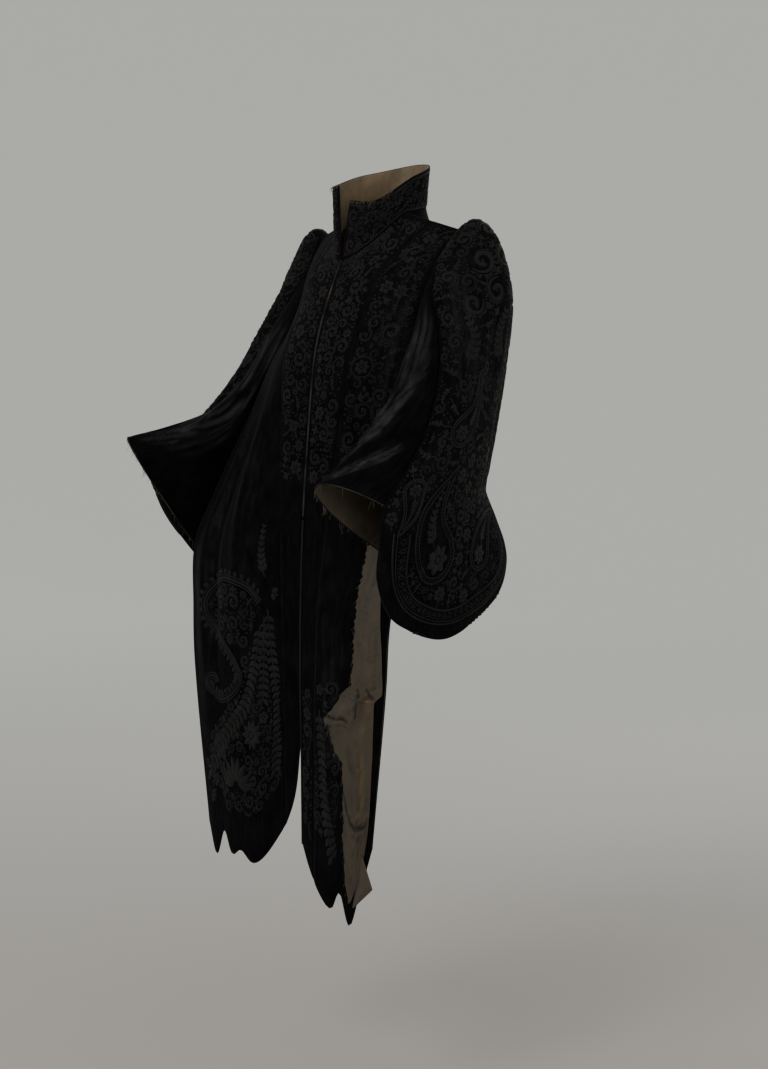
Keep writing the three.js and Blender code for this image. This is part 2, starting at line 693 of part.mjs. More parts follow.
// A closed wall between an outer and an inner grid of points
function wallGeometry(outer, inner, facing) {
  const rows = outer.length;
  const columns = outer[0].length;
  const points = [...outer.flat(), ...inner.flat()];
  const positions = points.flatMap((p) => [p.x, p.y, p.z]);
  const faces = [];
  const triangle = (a, b, c) => faces.push(...(facing > 0 ? [a, b, c] : [a, c, b]));
  // Each quad is split along its shorter diagonal, so that walls that meet are split alike.
  const quad = (a, b, c, d) => {
    if (points[a].distanceTo(points[c]) <= points[b].distanceTo(points[d])) {
      triangle(a, b, c);
      triangle(a, c, d);
    } else {
      triangle(a, b, d);
      triangle(b, c, d);
    }
  };
  const out = (r, c) => r * columns + c;
  const into = (r, c) => rows * columns + r * columns + c;
  for (let r = 0; r < rows - 1; r += 1) {
    for (let c = 0; c < columns - 1; c += 1) {
      quad(out(r, c), out(r, c + 1), out(r + 1, c + 1), out(r + 1, c));
      quad(into(r, c), into(r + 1, c), into(r + 1, c + 1), into(r, c + 1));
    }
  }
  for (let c = 0; c < columns - 1; c += 1) {
    quad(out(0, c), into(0, c), into(0, c + 1), out(0, c + 1));
    quad(out(rows - 1, c), out(rows - 1, c + 1), into(rows - 1, c + 1), into(rows - 1, c));
  }
  for (let r = 0; r < rows - 1; r += 1) {
    quad(out(r, 0), out(r + 1, 0), into(r + 1, 0), into(r, 0));
    quad(out(r, columns - 1), into(r, columns - 1), into(r + 1, columns - 1), out(r + 1, columns - 1));
  }
  const geometry = new THREE.BufferGeometry();
  geometry.setAttribute('position', new THREE.Float32BufferAttribute(positions, 3));
  geometry.setIndex(faces);
  return geometry;
}

const mirrored = (grid, side) =>
  grid.map((line) => line.map((p) => new THREE.Vector3(p.x * side.sign, p.y, p.z)));

// Every piece of velvet: its name, its outer points, which way they face, and its raised motifs
const cut = [{ name: 'collar', grid: collarGrid(), facing: 1, raised: plain }];
for (const side of [LEFT, RIGHT]) {
  const pieces = [
    { name: 'front', grid: centreFrontGrid(side), facing: -1, raised: plain },
    { name: 'side_front', grid: sideFrontGrid(side), facing: -1, raised: rise(FRONT_STATIONS, TAB_MOTIFS[side.name]) },
    { name: 'back', grid: backGrid(), facing: 1, raised: plain },
    { name: 'sleeve_outer', grid: sleeveOuterGrid(side), facing: 1, raised: rise(SLEEVE_STATIONS, SLEEVE_MOTIFS) },
    { name: 'sleeve_inner', grid: sleeveInnerGrid(side), facing: 1, raised: plain },
  ];
  for (const piece of pieces) {
    cut.push({
      ...piece,
      name: `${piece.name}_${side.name}`,
      grid: mirrored(piece.grid, side),
      facing: piece.facing * side.sign,
    });
  }
}

for (const piece of cut) piece.normals = gridNormals(piece.grid, piece.facing);

// Where pieces meet, their walls share one mitre, so that neither wall runs into the other.
// Beside the point of a gusset the three walls lean almost the same way too.
const rimPoints = cut.flatMap((piece) =>
  piece.grid.flatMap((line, r) =>
    line.flatMap((spot, c) => (isRim(piece.grid, r, c) ? [{ spot, normal: piece.normals[r][c] }] : []))));

function seamNormal(spot) {
  const sum = new THREE.Vector3();
  for (const rim of rimPoints) {
    const nearness = 1 - rim.spot.distanceTo(spot) / MITRE_REACH;
    if (nearness > 0) sum.addScaledVector(rim.normal, nearness ** 2);
  }
  return sum.normalize();
}

const dolman = new THREE.Group();
for (const piece of cut) {
  const innerGrid = piece.grid.map((line, r) =>
    line.map((spot, c) => {
      const own = piece.normals[r][c];
      const towards = isRim(piece.grid, r, c) ? seamNormal(spot) : own;
      return spot.clone().addScaledVector(towards, -VELVET / Math.max(towards.dot(own), MITRE_LEAST));
    }));
  const geometry = wallGeometry(
    pulledIn(stoodOut(piece.grid, piece.normals, piece.raised), SEAM_PULL),
    pulledIn(innerGrid, SEAM_PULL),
    piece.facing,
  );
  const mesh = new THREE.Mesh(geometry, MATERIALS.velvet);
  mesh.name = piece.name;
  dolman.add(mesh);
}

// The loose lining lies outside the left front, clear of it.
const liningUnder = looseLiningGrid();
const liningNormals = gridNormals(liningUnder, -1);
const liftedBy = (amount) =>
  liningUnder.map((line, r) => line.map((p, c) => p.clone().addScaledVector(liningNormals[r][c], amount)));
const liningMesh = new THREE.Mesh(
  wallGeometry(liftedBy(LAID_ON + TAFFETA), liftedBy(LAID_ON), -1),
  MATERIALS.lining,
);
liningMesh.name = 'loose_lining_left';
dolman.add(liningMesh);

export default dolman;
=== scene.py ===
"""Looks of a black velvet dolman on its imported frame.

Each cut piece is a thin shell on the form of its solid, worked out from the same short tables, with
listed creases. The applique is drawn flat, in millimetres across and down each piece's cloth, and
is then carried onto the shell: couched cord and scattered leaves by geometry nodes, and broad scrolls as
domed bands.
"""

import json
import logging
import math
from collections.abc import Callable, Iterable
from dataclasses import dataclass, field
from enum import Enum
from functools import cached_property

import bpy
import numpy as np
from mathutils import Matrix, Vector

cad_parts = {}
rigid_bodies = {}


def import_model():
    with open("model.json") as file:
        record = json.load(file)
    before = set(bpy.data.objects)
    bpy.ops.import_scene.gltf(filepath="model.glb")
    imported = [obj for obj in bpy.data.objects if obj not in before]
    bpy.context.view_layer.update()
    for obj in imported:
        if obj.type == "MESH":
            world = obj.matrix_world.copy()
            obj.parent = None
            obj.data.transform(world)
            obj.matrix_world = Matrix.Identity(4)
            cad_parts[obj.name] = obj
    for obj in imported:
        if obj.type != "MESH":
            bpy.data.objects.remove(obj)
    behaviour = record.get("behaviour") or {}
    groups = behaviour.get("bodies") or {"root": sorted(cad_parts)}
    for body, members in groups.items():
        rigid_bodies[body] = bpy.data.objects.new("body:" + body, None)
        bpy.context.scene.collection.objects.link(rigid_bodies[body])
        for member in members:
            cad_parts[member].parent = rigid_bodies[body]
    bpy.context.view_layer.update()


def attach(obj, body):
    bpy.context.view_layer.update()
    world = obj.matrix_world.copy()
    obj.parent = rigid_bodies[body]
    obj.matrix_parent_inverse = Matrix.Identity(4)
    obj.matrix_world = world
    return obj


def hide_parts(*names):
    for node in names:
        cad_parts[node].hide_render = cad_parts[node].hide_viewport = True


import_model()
log = logging.getLogger("dolman")

# Sizes are in millimetres. A station, such as JOIN_END, is a numbered place down a piece from its top.
MM = 0.001
FRONT_OPENING = 2.5
FRONT_EDGE = 0.9
SHOULDER_END = np.array([165.0, 3.0, -32.0])
SEAM_ON_SHOULDER = 0.5
JOIN_END = 8.0
FRONT_TURN = 10.0
FRONT_END = 12.0
BACK_END = 10.0
LOBE_END = 12.0
CAP_START = 0.08
GUSSET_START = 1.004
WAIST_Z = -480.0
NOT_SEWN = -1.0
SEWN_ALL_DOWN = 99.0
NO_EDGE = 1e6
FAR_OFF = 1e5
LEAST_FILL = 0.31
# How the creases' painted sheen highlight and painted shade grow with the turn of the cloth.
CREASE_SHEEN_SHADE_GAIN = 3.4
CREASE_SHEEN_SHADE_START = 0.12

Array = np.ndarray
Socket = bpy.types.NodeSocket
Material = bpy.types.Material
Piece = bpy.types.Object
Surface = Callable[[Array], Array]
Cover = Callable[[Array, Array, Array], Array]
Colour = tuple[float, float, float]


class Table:
    """A short table of named sizes: each row is a place, then one or three numbers in millimetres."""

    def __init__(self, rows: list[tuple[float, ...]]) -> None:
        """Keeps the rows.

        Args:
            rows: the places, in rising order, each with its numbers.
        """
        data = np.array(rows, float)
        self.places = data[:, 0]
        self.values = data[:, 1] if data.shape[1] == 2 else data[:, 1:]

    def smooth(self, at: Array | float) -> Array:
        """Reads the table on a smooth curve through its rows.

        Args:
            at: one place or an array of them.

        Returns:
            The numbers at each place.
        """
        last = len(self.places) - 1
        place = np.clip(np.asarray(at, float), self.places[0], self.places[-1])
        i = np.searchsorted(self.places[1:-1], place, side="left")
        k = np.arange(last + 1)
        before, after = np.maximum(k - 1, 0), np.minimum(k + 1, last)
        run = self.places[after] - self.places[before]
        span = self.places[i + 1] - self.places[i]
        t = (place - self.places[i]) / span
        if self.values.ndim == 2:
            run, span, t = run[:, None], span[..., None], t[..., None]
        slopes = (self.values[after] - self.values[before]) / run
        a, b = self.values[i], self.values[i + 1]
        m0, m1 = slopes[i] * span, slopes[i + 1] * span
        return a + t * (m0 + t * (3 * (b - a) - 2 * m0 - m1 + t * (2 * (a - b) + m0 + m1)))

    def column(self, at: Array, number: int) -> Array:
        """Reads one column of numbers in straight lines between the rows."""
        return np.interp(at, self.places, self.values[:, number])


@dataclass(frozen=True)
class Fold:
    """A soft fold of the form itself, upright on its piece."""

    share: float
    half_width: float
    depth: float
    start: float
    end: float

    def lift(self, at: Array, share: Array) -> Array:
        """How far the fold lifts the cloth at each station and share across.

        Args:
            at: the station of each point.
            share: the share across of each point.

        Returns:
            Millimetres along the normals.
        """
        across = np.clip((share - self.share) / self.half_width, -1, 1)
        along = np.clip((at - self.start) / (self.end - self.start), 0, 1)
        return self.depth * (0.5 + 0.5 * np.cos(np.pi * across)) * np.sin(np.pi * along) ** 2


@dataclass(frozen=True)
class Crease:
    """A listed crease: a trough or ridge that runs in a line from one station and share to another."""

    start: float
    end: float
    share_start: float
    share_end: float
    width: float
    depth: float
    lean: float = 0.45

    def lift(self, at: Array, share: Array, girth: Array) -> Array:
        """How far the crease lifts the cloth.

        Args:
            at: the stations of the points.
            share: their shares across.
            girth: the length of each point's row in millimetres.

        Returns:
            Millimetres along the normals.
        """
        along = np.clip((at - self.start) / (self.end - self.start), 0, 1)
        line = self.share_start + (self.share_end - self.share_start) * along
        off = (share - line) * girth / self.width
        swell = 1.6 * np.sin(np.pi * along) ** 1.2
        return self.depth * swell * (np.exp(-(off**2)) - self.lean * np.exp(-(((off - 1.7) / 0.9) ** 2)))


CENTRE_FRONT = Table([
    (0, 0, -99, -77), (1, 0, -112, -105), (2, 0, -131, -150), (3, 0, -148, -200), (4, 0, -158, -250),
    (5, 0, -165, -316), (6, 0, -171, -380), (7, 0, -177, -450), (8, 0, -182, -540), (9, 0, -185, -640),
    (10, 0, -186, -740), (12, 0, -184, -820),
])
CENTRE_BACK = Table([
    (0, 0, 67, 12), (1, 0, 84, -42), (2, 0, 98, -108), (3, 0, 105, -170), (4, 0, 105, -230),
    (5, 0, 99, -290), (6, 0, 91, -345), (7, 0, 85, -395), (8, 0, 86, -440), (9, 0, 122, -492),
    (10, 0, 172, -562),
])
BACK_EDGE = Table([
    (0, 165, 3, -32), (1, 156, 50, -75), (2, 152, 80, -130), (3, 152, 94, -185), (4, 150, 96, -240),
    (5, 146, 92, -295), (6, 141, 84, -350), (7, 135, 75, -400), (8, 130, 68, -440), (9, 130, 98, -490),
    (10, 126, 142, -545),
])
BACK_BOW = Table([(0, 0), (1, 16), (2, 18), (4, 16), (6, 14), (8, 12), (10, 16)])
COLLAR_TOP = Table([(0, 16), (0.12, 16), (0.28, 58), (0.5, 81), (0.72, 64), (0.88, 42), (1, 40)])
LOOSE_EDGES = Table([
    (7.7, 0.74, 0.93), (8.5, 0.69, 0.9), (9.3, 0.69, 0.95), (9.9, 0.67, 0.975), (10.02, 0.59, 0.975),
    (10.1, 0.53, 0.91), (10.3, 0.36, 0.91), (10.72, 0.595, 0.92), (10.95, 0.62, 0.925), (11.4, 0.635, 0.93),
    (11.62, 0.66, 0.92), (11.8, 0.72, 0.88),
])
NECK_BOW = [(0, 0), (1, 20), (2, 22), (3, 27), (4, 30)]
PRINCESS = [(0, 112), (1, 84), (2, 78), (4, 74), (6, 62), (8, 46), (10, 38)]
SLEEVE_HEAD = [
    (0, 166, 4, -32), (0.3, 179, 9, -20), (0.6, 193, 12, -17), (0.8, 208, 13, -28), (1, 221, 14, -49),
]


@dataclass(frozen=True)
class Side:
    """One side of the garment. The two differ because the arms are held apart by different amounts."""

    name: str
    sign: int
    front_edge: Table
    bow: Table
    seam: Table
    hem: Table
    outer: Table
    squareness: Table
    piecing: Table
    fold: Table
    lobe_back: Table
    inner_power: float
    sleeve_folds: tuple[Fold, ...]
    front_folds: tuple[Fold, ...]
    sleeve_creases: tuple[Crease, ...]
    outer_creases: tuple[Crease, ...]
    front_creases: tuple[Crease, ...]

    def seam_share(self, at: Array) -> Array:
        """The princess seam's share across the front at each station."""
        return (self.seam.smooth(at) - FRONT_OPENING) / (self.front_edge.smooth(at)[..., 0] - FRONT_OPENING)

    def turn_height(self, share: Array) -> Array:
        """The height at which the tab begins to taper, at each share across."""
        inner, outer = CENTRE_FRONT.smooth(FRONT_TURN)[2], self.front_edge.smooth(FRONT_TURN)[2]
        return inner + (outer - inner) * share

    def front(self, at: Array, share: Array) -> Array:
        """Points of this side's front: share 0 is the centre front edge, 1 the side edge.

        Args:
            at: the station of each point.
            share: the share across of each point.

        Returns:
            The points.
        """
        centre = CENTRE_FRONT.smooth(at)
        centre[..., 0] = FRONT_EDGE
        centre[..., 2] = CENTRE_FRONT.smooth(np.minimum(at, FRONT_TURN))[..., 2]
        spot = centre + (self.front_edge.smooth(at) - centre) * share[..., None]
        spot[..., 1] -= self.bow.smooth(at) * np.sin(np.pi * share)
        turn = self.turn_height(share)
        down = np.clip((at - FRONT_TURN) / (FRONT_END - FRONT_TURN), 0, 1)
        hanging = turn + (self.hem.smooth(share) - turn) * down
        spot[..., 2] = np.where(at > FRONT_TURN, hanging, spot[..., 2])
        for fold in self.front_folds:
            spot[..., 1] -= fold.lift(at, share)
        return spot


LEFT = Side(
    name="left",
    sign=1,
    front_edge=Table([
        (0, 165, 3, -32), (1, 150, -36, -80), (2, 143, -60, -140), (3, 146, -74, -195), (4, 152, -88, -250),
        (5, 163, -103, -316), (6, 170, -115, -380), (7, 176, -127, -450), (8, 182, -142, -540),
        (9, 186, -166, -640), (10, 184, -172, -740), (12, 152, -170, -960),
    ]),
    bow=Table([*NECK_BOW, (5, 22), (6, 17), (8, 12), (12, 10)]),
    seam=Table([*PRINCESS, (12, 32)]),
    hem=Table([
        (0, -1000), (0.12, -1034), (0.3, -1072), (0.48, -1090), (0.6, -1062), (0.72, -1112), (0.84, -1064),
        (1, -985),
    ]),
    outer=Table([
        *SLEEVE_HEAD, (1.5, 233, 14, -88), (2, 238, 13, -127), (3, 240, 8, -181), (4, 242, -3, -235),
        (5, 243, -17, -290), (6, 245, -34, -345), (7, 246, -54, -398), (8, 247, -72, -443),
        (9, 247, -80, -497), (10, 245, -86, -552), (11, 240, -90, -610), (12, 231, -92, -657),
    ]),
    squareness=Table([
        (0, 0.6), (2, 0.58), (3.5, 0.68), (5, 0.68), (8, 0.82), (9, 0.7), (10, 0.6), (12, 0.9),
    ]),
    piecing=Table([
        (1, 150, -36, -80), (2, 160, -57, -125), (3, 190, -70, -180), (4, 216, -90, -235),
        (5, 230, -113, -290), (6, 237, -142, -345), (7, 239, -182, -398), (8, 238, -222, -447),
        (9, 239, -234, -505), (10, 239, -238, -560), (11, 235, -206, -617), (12, 229, -134, -652),
    ]),
    fold=Table([
        (1, 150, -36, -80), (1.5, 151, -48, -107), (2, 155, -64, -136), (3, 176, -99, -187),
        (4, 188, -135, -235), (5, 195, -175, -288), (6, 196, -218, -335), (7, 189, -262, -383),
        (8, 176, -304, -426),
    ]),
    lobe_back=Table([
        (8, 130, 68, -440), (9, 160, 73, -486), (10, 190, 76, -545), (11, 206, 44, -603),
        (12, 222, -48, -650),
    ]),
    inner_power=1.15,
    sleeve_folds=(
        Fold(0.36, 0.13, -9, 2, 7.6), Fold(0.6, 0.12, -6, 3.4, 8.6), Fold(0.16, 0.1, -5, 4.6, 8.4),
    ),
    front_folds=(Fold(0.58, 0.2, 7, 4.5, 10.4), Fold(0.83, 0.17, 4, 6.4, 11.6)),
    sleeve_creases=(
        Crease(1.9, 6.6, 0.2, 0.42, 7, 2.4), Crease(2.6, 5.6, 0.5, 0.3, 6, -2.2),
        Crease(3.6, 7.4, 0.18, 0.5, 8, 2.6), Crease(4.6, 6.5, 0.62, 0.28, 5, -2.6),
        Crease(5.2, 7.9, 0.3, 0.66, 7, -2.4), Crease(5.9, 7.3, 0.72, 0.4, 4.5, 2.2),
        Crease(4.1, 5.4, 0.14, 0.4, 5, -1.8), Crease(6.3, 7.9, 0.1, 0.34, 5, 2),
    ),
    outer_creases=(
        Crease(1.1, 5.2, 0.86, 0.72, 12, -4), Crease(2.2, 7.4, 0.6, 0.66, 15, 2.2),
        Crease(1.6, 6.4, 0.38, 0.46, 14, 2.6), Crease(3.2, 8.6, 0.24, 0.3, 16, -3),
        Crease(5.6, 9.4, 0.78, 0.7, 13, -2), Crease(8.2, 11.6, 0.2, 0.3, 16, 2.4),
    ),
    front_creases=(
        Crease(1.2, 4.4, 0.7, 0.5, 13, -2.6), Crease(2.0, 6.4, 0.86, 0.62, 12, 2.4),
        Crease(8.4, 11.9, 0.22, 0.3, 12, 2),
    ),
)

RIGHT = Side(
    name="right",
    sign=-1,
    front_edge=Table([
        (0, 165, 3, -32), (1, 150, -36, -80), (2, 144, -62, -140), (3, 154, -78, -190), (4, 173, -95, -240),
        (5, 199, -114, -302), (6, 226, -136, -375), (7, 254, -160, -455), (8, 279, -182, -540),
        (9, 276, -188, -640), (10, 270, -190, -740), (12, 236, -188, -1000),
    ]),
    bow=Table([*NECK_BOW, (5, 24), (6, 20), (8, 18), (12, 16)]),
    seam=Table([*PRINCESS, (12, 34)]),
    hem=Table([
        (0, -820), (0.04, -905), (0.1, -955), (0.2, -995), (0.34, -1034), (0.45, -1046), (0.57, -1030),
        (0.68, -1040), (0.78, -1006), (0.89, -1050), (1, -1000),
    ]),
    outer=Table([
        *SLEEVE_HEAD, (1.5, 234, 13, -90), (2, 240, 10, -130), (3, 247, 4, -184), (4, 258, -8, -237),
        (5, 274, -25, -287), (6, 291, -45, -337), (7, 306, -62, -387), (8, 314, -75, -432),
        (9, 316, -72, -482), (10, 313, -62, -534), (11, 305, -48, -590), (12, 294, -36, -640),
    ]),
    squareness=Table([(0, 0.6), (2, 0.55), (5, 0.6), (8, 0.75), (10, 0.65), (12, 0.9)]),
    piecing=Table([
        (1, 150, -36, -80), (2, 168, -55, -124), (3, 204, -64, -178), (4, 232, -80, -232),
        (5, 256, -102, -284), (6, 280, -134, -330), (7, 302, -178, -374), (8, 318, -228, -413),
        (9, 319, -206, -472), (10, 316, -162, -534), (11, 308, -118, -592), (12, 295, -66, -636),
    ]),
    fold=Table([
        (1, 150, -36, -80), (1.5, 153, -48, -107), (2, 160, -66, -138), (3, 189, -90, -192),
        (4, 205, -113, -243), (5, 222, -144, -292), (6, 243, -188, -328), (7, 267, -246, -352),
        (8, 288, -305, -372),
    ]),
    lobe_back=Table([
        (8, 130, 68, -440), (9, 168, 78, -482), (10, 220, 82, -532), (11, 254, 56, -588), (12, 278, 2, -634),
    ]),
    inner_power=1.5,
    sleeve_folds=(
        Fold(0.72, 0.13, -9, 2.4, 7.2), Fold(0.3, 0.12, -6, 4, 8.4), Fold(0.88, 0.1, -5, 4.6, 8.2),
    ),
    front_folds=(Fold(0.55, 0.17, 11, 4.2, 10.4), Fold(0.84, 0.15, 9, 5.5, 11.8)),
    sleeve_creases=(
        Crease(2.0, 6.4, 0.75, 0.5, 8, 2.4), Crease(2.8, 5.8, 0.4, 0.66, 7, -2.2),
        Crease(3.8, 7.6, 0.84, 0.56, 8, 2.6), Crease(4.8, 7.1, 0.3, 0.58, 6, -2.4),
        Crease(5.6, 7.9, 0.66, 0.44, 7, 2.2), Crease(4.2, 6.2, 0.14, 0.3, 6, 1.8),
    ),
    outer_creases=(
        Crease(1.2, 5.4, 0.84, 0.7, 13, -4), Crease(2.4, 7.0, 0.58, 0.64, 16, 2.4),
        Crease(1.8, 6.6, 0.36, 0.44, 14, 2.6), Crease(3.0, 8.8, 0.22, 0.3, 17, -3),
        Crease(8.0, 11.4, 0.3, 0.24, 16, 2.4),
    ),
    front_creases=(
        Crease(1.2, 5.0, 0.8, 0.5, 14, -3), Crease(2.6, 7.6, 0.9, 0.68, 13, 3),
        Crease(4.4, 9.6, 0.36, 0.4, 15, 2.6), Crease(5.4, 10.8, 0.66, 0.7, 14, -3.6),
        Crease(8.6, 11.6, 0.22, 0.26, 12, 1.6),
    ),
)


@dataclass(frozen=True)
class Neckline:
    """The neckline and shoulder line of one side: an ellipse seen from above, lower at the front."""

    half_width: float = 60.0
    half_depth: float = 83.0
    centre_y: float = -16.0
    front_z: float = -77.0
    side_z: float = -2.0
    nape_z: float = 12.0

    def neck(self, turn: Array | float) -> Array:
        """Points on the neckline: turn 0 is the centre front, 1 the shoulder, 2 the nape.

        Args:
            turn: where on the neckline.

        Returns:
            The points.
        """
        turn = np.asarray(turn, float)
        least = math.asin(FRONT_EDGE / self.half_width)
        angle = np.maximum(turn * np.pi / 2, np.where(turn < 1, least, 0))
        forward = np.cos(angle)
        drop = np.where(forward > 0, self.front_z - self.side_z, self.nape_z - self.side_z)
        ends = np.where(turn >= 2, 0, np.sin(angle))
        x = self.half_width * ends
        y = self.centre_y - self.half_depth * forward
        return np.stack([x, y, self.side_z + drop * np.abs(forward) ** 1.25], -1)

    def shoulder(self, share: Array) -> Array:
        """Points on the shoulder seam: share 0 is the neck, 1 the sleeve."""
        start = self.neck(1.0)
        return start + (SHOULDER_END - start) * np.asarray(share, float)[..., None]

    def start(self, steps: Array, backward: bool) -> Array:
        """Points along the neck and then the shoulder.

        Args:
            steps: 0 to 4 is the neck, 4 to 6 the shoulder up to the princess seam, 6 to 14 the rest of it.
            backward: whether the neck part starts at the nape, not at the centre front.

        Returns:
            The points.
        """
        quarter = np.clip(steps, 0, 4) / 4
        neck = self.neck(2 - quarter if backward else quarter)
        near = np.clip(steps - 4, 0, 2) / 2 * SEAM_ON_SHOULDER
        far = np.clip(steps - 6, 0, 8) / 8 * (1 - SEAM_ON_SHOULDER)
        return np.where((steps <= 4)[..., None], neck, self.shoulder(near + far))


NECK = Neckline()


def from_shoulder(start: Array, surface: Surface, at: Array) -> Array:
    """Carries columns smoothly from the neck and shoulder line, at station 0, into the surface below.

    Args:
        start: the points at station 0.
        surface: gives the points of the surface at stations of 1 and more.
        at: the station of each point.

    Returns:
        The points.
    """
    step = 0.001
    ones = np.ones_like(at)
    end = surface(ones)
    leaving = (surface(ones + step) - end) / step
    setting = 2 * (end - start) - leaving
    t = np.clip(at, 0, 1)[..., None]
    curve = start * (2 * t**3 - 3 * t**2 + 1) + setting * (t**3 - 2 * t**2 + t)
    curve = curve + end * (3 * t**2 - 2 * t**3) + leaving * (t**3 - t**2)
    return np.where((at >= 1)[..., None], surface(at), curve)


def unit(vectors: Array) -> Array:
    """The same vectors with a length of 1."""
    return vectors / np.maximum(np.linalg.norm(vectors, axis=-1, keepdims=True), 1e-9)


def grid_normals(points: Array, facing: int) -> Array:
    """Unit normals of a grid of points, all on the side that facing gives.

    Args:
        points: the grid of points.
        facing: 1 or -1, the side that is outward.

    Returns:
        The normals.
    """
    padded = np.pad(points, ((1, 1), (1, 1), (0, 0)), mode="edge")
    down = padded[2:, 1:-1] - padded[:-2, 1:-1]
    along = padded[1:-1, 2:] - padded[1:-1, :-2]
    return unit(np.cross(along, down)) * facing


def lengths(points: Array, axis: int) -> Array:
    """The distances between neighbours along one axis of a grid or a path of points."""
    return np.linalg.norm(np.diff(points, axis=axis), axis=-1)


def walked(path: Array) -> Array:
    """How far along a path each of its points is."""
    return np.concatenate([[0], np.cumsum(lengths(path, 0))])


def spaced(path: Array, along: Array, count: int) -> Array:
    """Reads a path's columns at a number of even steps of along."""
    places = np.linspace(0, along[-1], count)
    return np.stack([np.interp(places, along, column) for column in path.T], -1)


def even_columns(dense: Array, count: int) -> Array:
    """Spaces each row of a grid evenly along its own length."""
    return np.stack([spaced(row, walked(row[:, :3]), count) for row in dense])


def even_rows(dense: Array, count: int) -> Array:
    """Spaces the rows of a grid evenly by their mean distance.

    Args:
        dense: the grid.
        count: how many are wanted.

    Returns:
        The evened grid.
    """
    along = np.concatenate([[0], np.cumsum(lengths(dense[..., :3], 0).mean(axis=1))])
    place = np.interp(np.linspace(0, along[-1], count), along, np.arange(len(dense)))
    low = np.minimum(place.astype(int), len(dense) - 2)
    share = (place - low)[:, None, None]
    return dense[low] * (1 - share) + dense[low + 1] * share


@dataclass
class Spread:
    """A panel's cloth as an even grid of points, with the place of each on the flat pattern.

    across and down are millimetres from the middle line and from the top, room is how far the nearest edge
    is, and the last field is the painted light and shade along the creases, from 0 to 1: a painted sheen
    highlight on the velvet and painted shade in the lining's folds.
    """

    points: Array
    at: Array
    share: Array
    facing: int
    across: Array
    down: Array
    room: Array
    normals: Array
    crush: Array

    @classmethod
    def of(cls, dense: Array, counts: tuple[int, int], facing: int, middle: float) -> "Spread":
        """Evens a dense grid out.

        Args:
            dense: rows of columns of x, y, z, station, share and room to the hem.
            counts: the rows and columns wanted.
            facing: which side is outward.
            middle: the share across of the middle line.

        Returns:
            The spread.
        """
        grid = even_rows(even_columns(dense, counts[1]), counts[0])
        points, at, share, hem = grid[..., :3], grid[..., 3], grid[..., 4], grid[..., 5]
        girth = lengths(points, 1).sum(axis=1)
        places = np.linspace(0, 1, counts[1])
        offset = np.array([np.interp(middle, share[r], places) for r in range(counts[0])])
        across = (places[None, :] - offset[:, None]) * girth[:, None]
        column = offset * (counts[1] - 1)
        low = np.minimum(column.astype(int), counts[1] - 2)
        part = (column - low)[:, None]
        index = np.arange(counts[0])
        line = points[index, low] * (1 - part) + points[index, low + 1] * part
        down = np.repeat(walked(line)[:, None], counts[1], axis=1)
        sides = np.minimum(places[None, :], 1 - places[None, :]) * girth[:, None]
        room = np.minimum.reduce([sides, down, hem])
        normals = grid_normals(points, facing)
        return cls(points, at, share, facing, across, down, room, normals, np.zeros_like(at))

    @property
    def girth(self) -> Array:
        """The length of each row, as a column."""
        return self.across[:, -1:] - self.across[:, :1]

    def lifted(self, height: Array) -> None:
        """Moves the points along their normals, and notes how much painted light and shade each crease gets.

        Args:
            height: how far each point moves.
        """
        self.points = self.points + self.normals * height[..., None]
        before = self.normals
        self.normals = grid_normals(self.points, self.facing)
        turned = np.linalg.norm(self.normals - before, axis=2)
        # Sharp turns of the cloth mark the creases: painted sheen highlight on the velvet, painted shade on
        # the lining.
        self.crush = np.clip(turned * CREASE_SHEEN_SHADE_GAIN - CREASE_SHEEN_SHADE_START, 0, 1)

    def seek(self, spots: Array) -> tuple[Array, Array, Array]:
        """Finds places on the flat pattern in the grid.

        Args:
            spots: millimetres across and down, in rows.

        Returns:
            The row and the column of each, as fractions, and how far it is off the cloth.
        """
        rows, columns = self.at.shape
        fall = self.down[:, 0]
        r = np.clip(np.interp(spots[:, 1], fall, np.arange(rows)), 0, rows - 1.001)
        r0 = r.astype(int)
        fr = r - r0
        left = self.across[r0, 0] * (1 - fr) + self.across[r0 + 1, 0] * fr
        right = self.across[r0, -1] * (1 - fr) + self.across[r0 + 1, -1] * fr
        c = (spots[:, 0] - left) / (right - left) * (columns - 1)
        x, y = spots.T
        off = np.maximum.reduce([left - x, x - right, y - fall[-1], -y])
        return r, np.clip(c, 0, columns - 1.001), np.maximum(off, 0)

    @staticmethod
    def read(values: Array, r: Array, c: Array) -> Array:
        """Reads a grid of values between its points.

        Args:
            values: the grid of values.
            r: the rows to read at.
            c: the columns to read at.

        Returns:
            The values there.
        """
        r0, c0 = r.astype(int), c.astype(int)
        f, g = r - r0, c - c0
        if values.ndim == 3:
            f, g = f[:, None], g[:, None]
        top = values[r0, c0] * (1 - g) + values[r0, c0 + 1] * g
        return top * (1 - f) + (values[r0 + 1, c0] * (1 - g) + values[r0 + 1, c0 + 1] * g) * f

    def place(self, spots: Array) -> tuple[Array, Array, Array]:
        """Carries places on the flat pattern onto the cloth.

        Args:
            spots: millimetres across and down, in rows.

        Returns:
            The points, their normals, and the room that each has to the nearest edge, below 0 off the cloth.
        """
        r, c, off = self.seek(spots)
        room = np.where(off > 0, -off, self.read(self.room, r, c))
        return self.read(self.points, r, c), unit(self.read(self.normals, r, c)), room


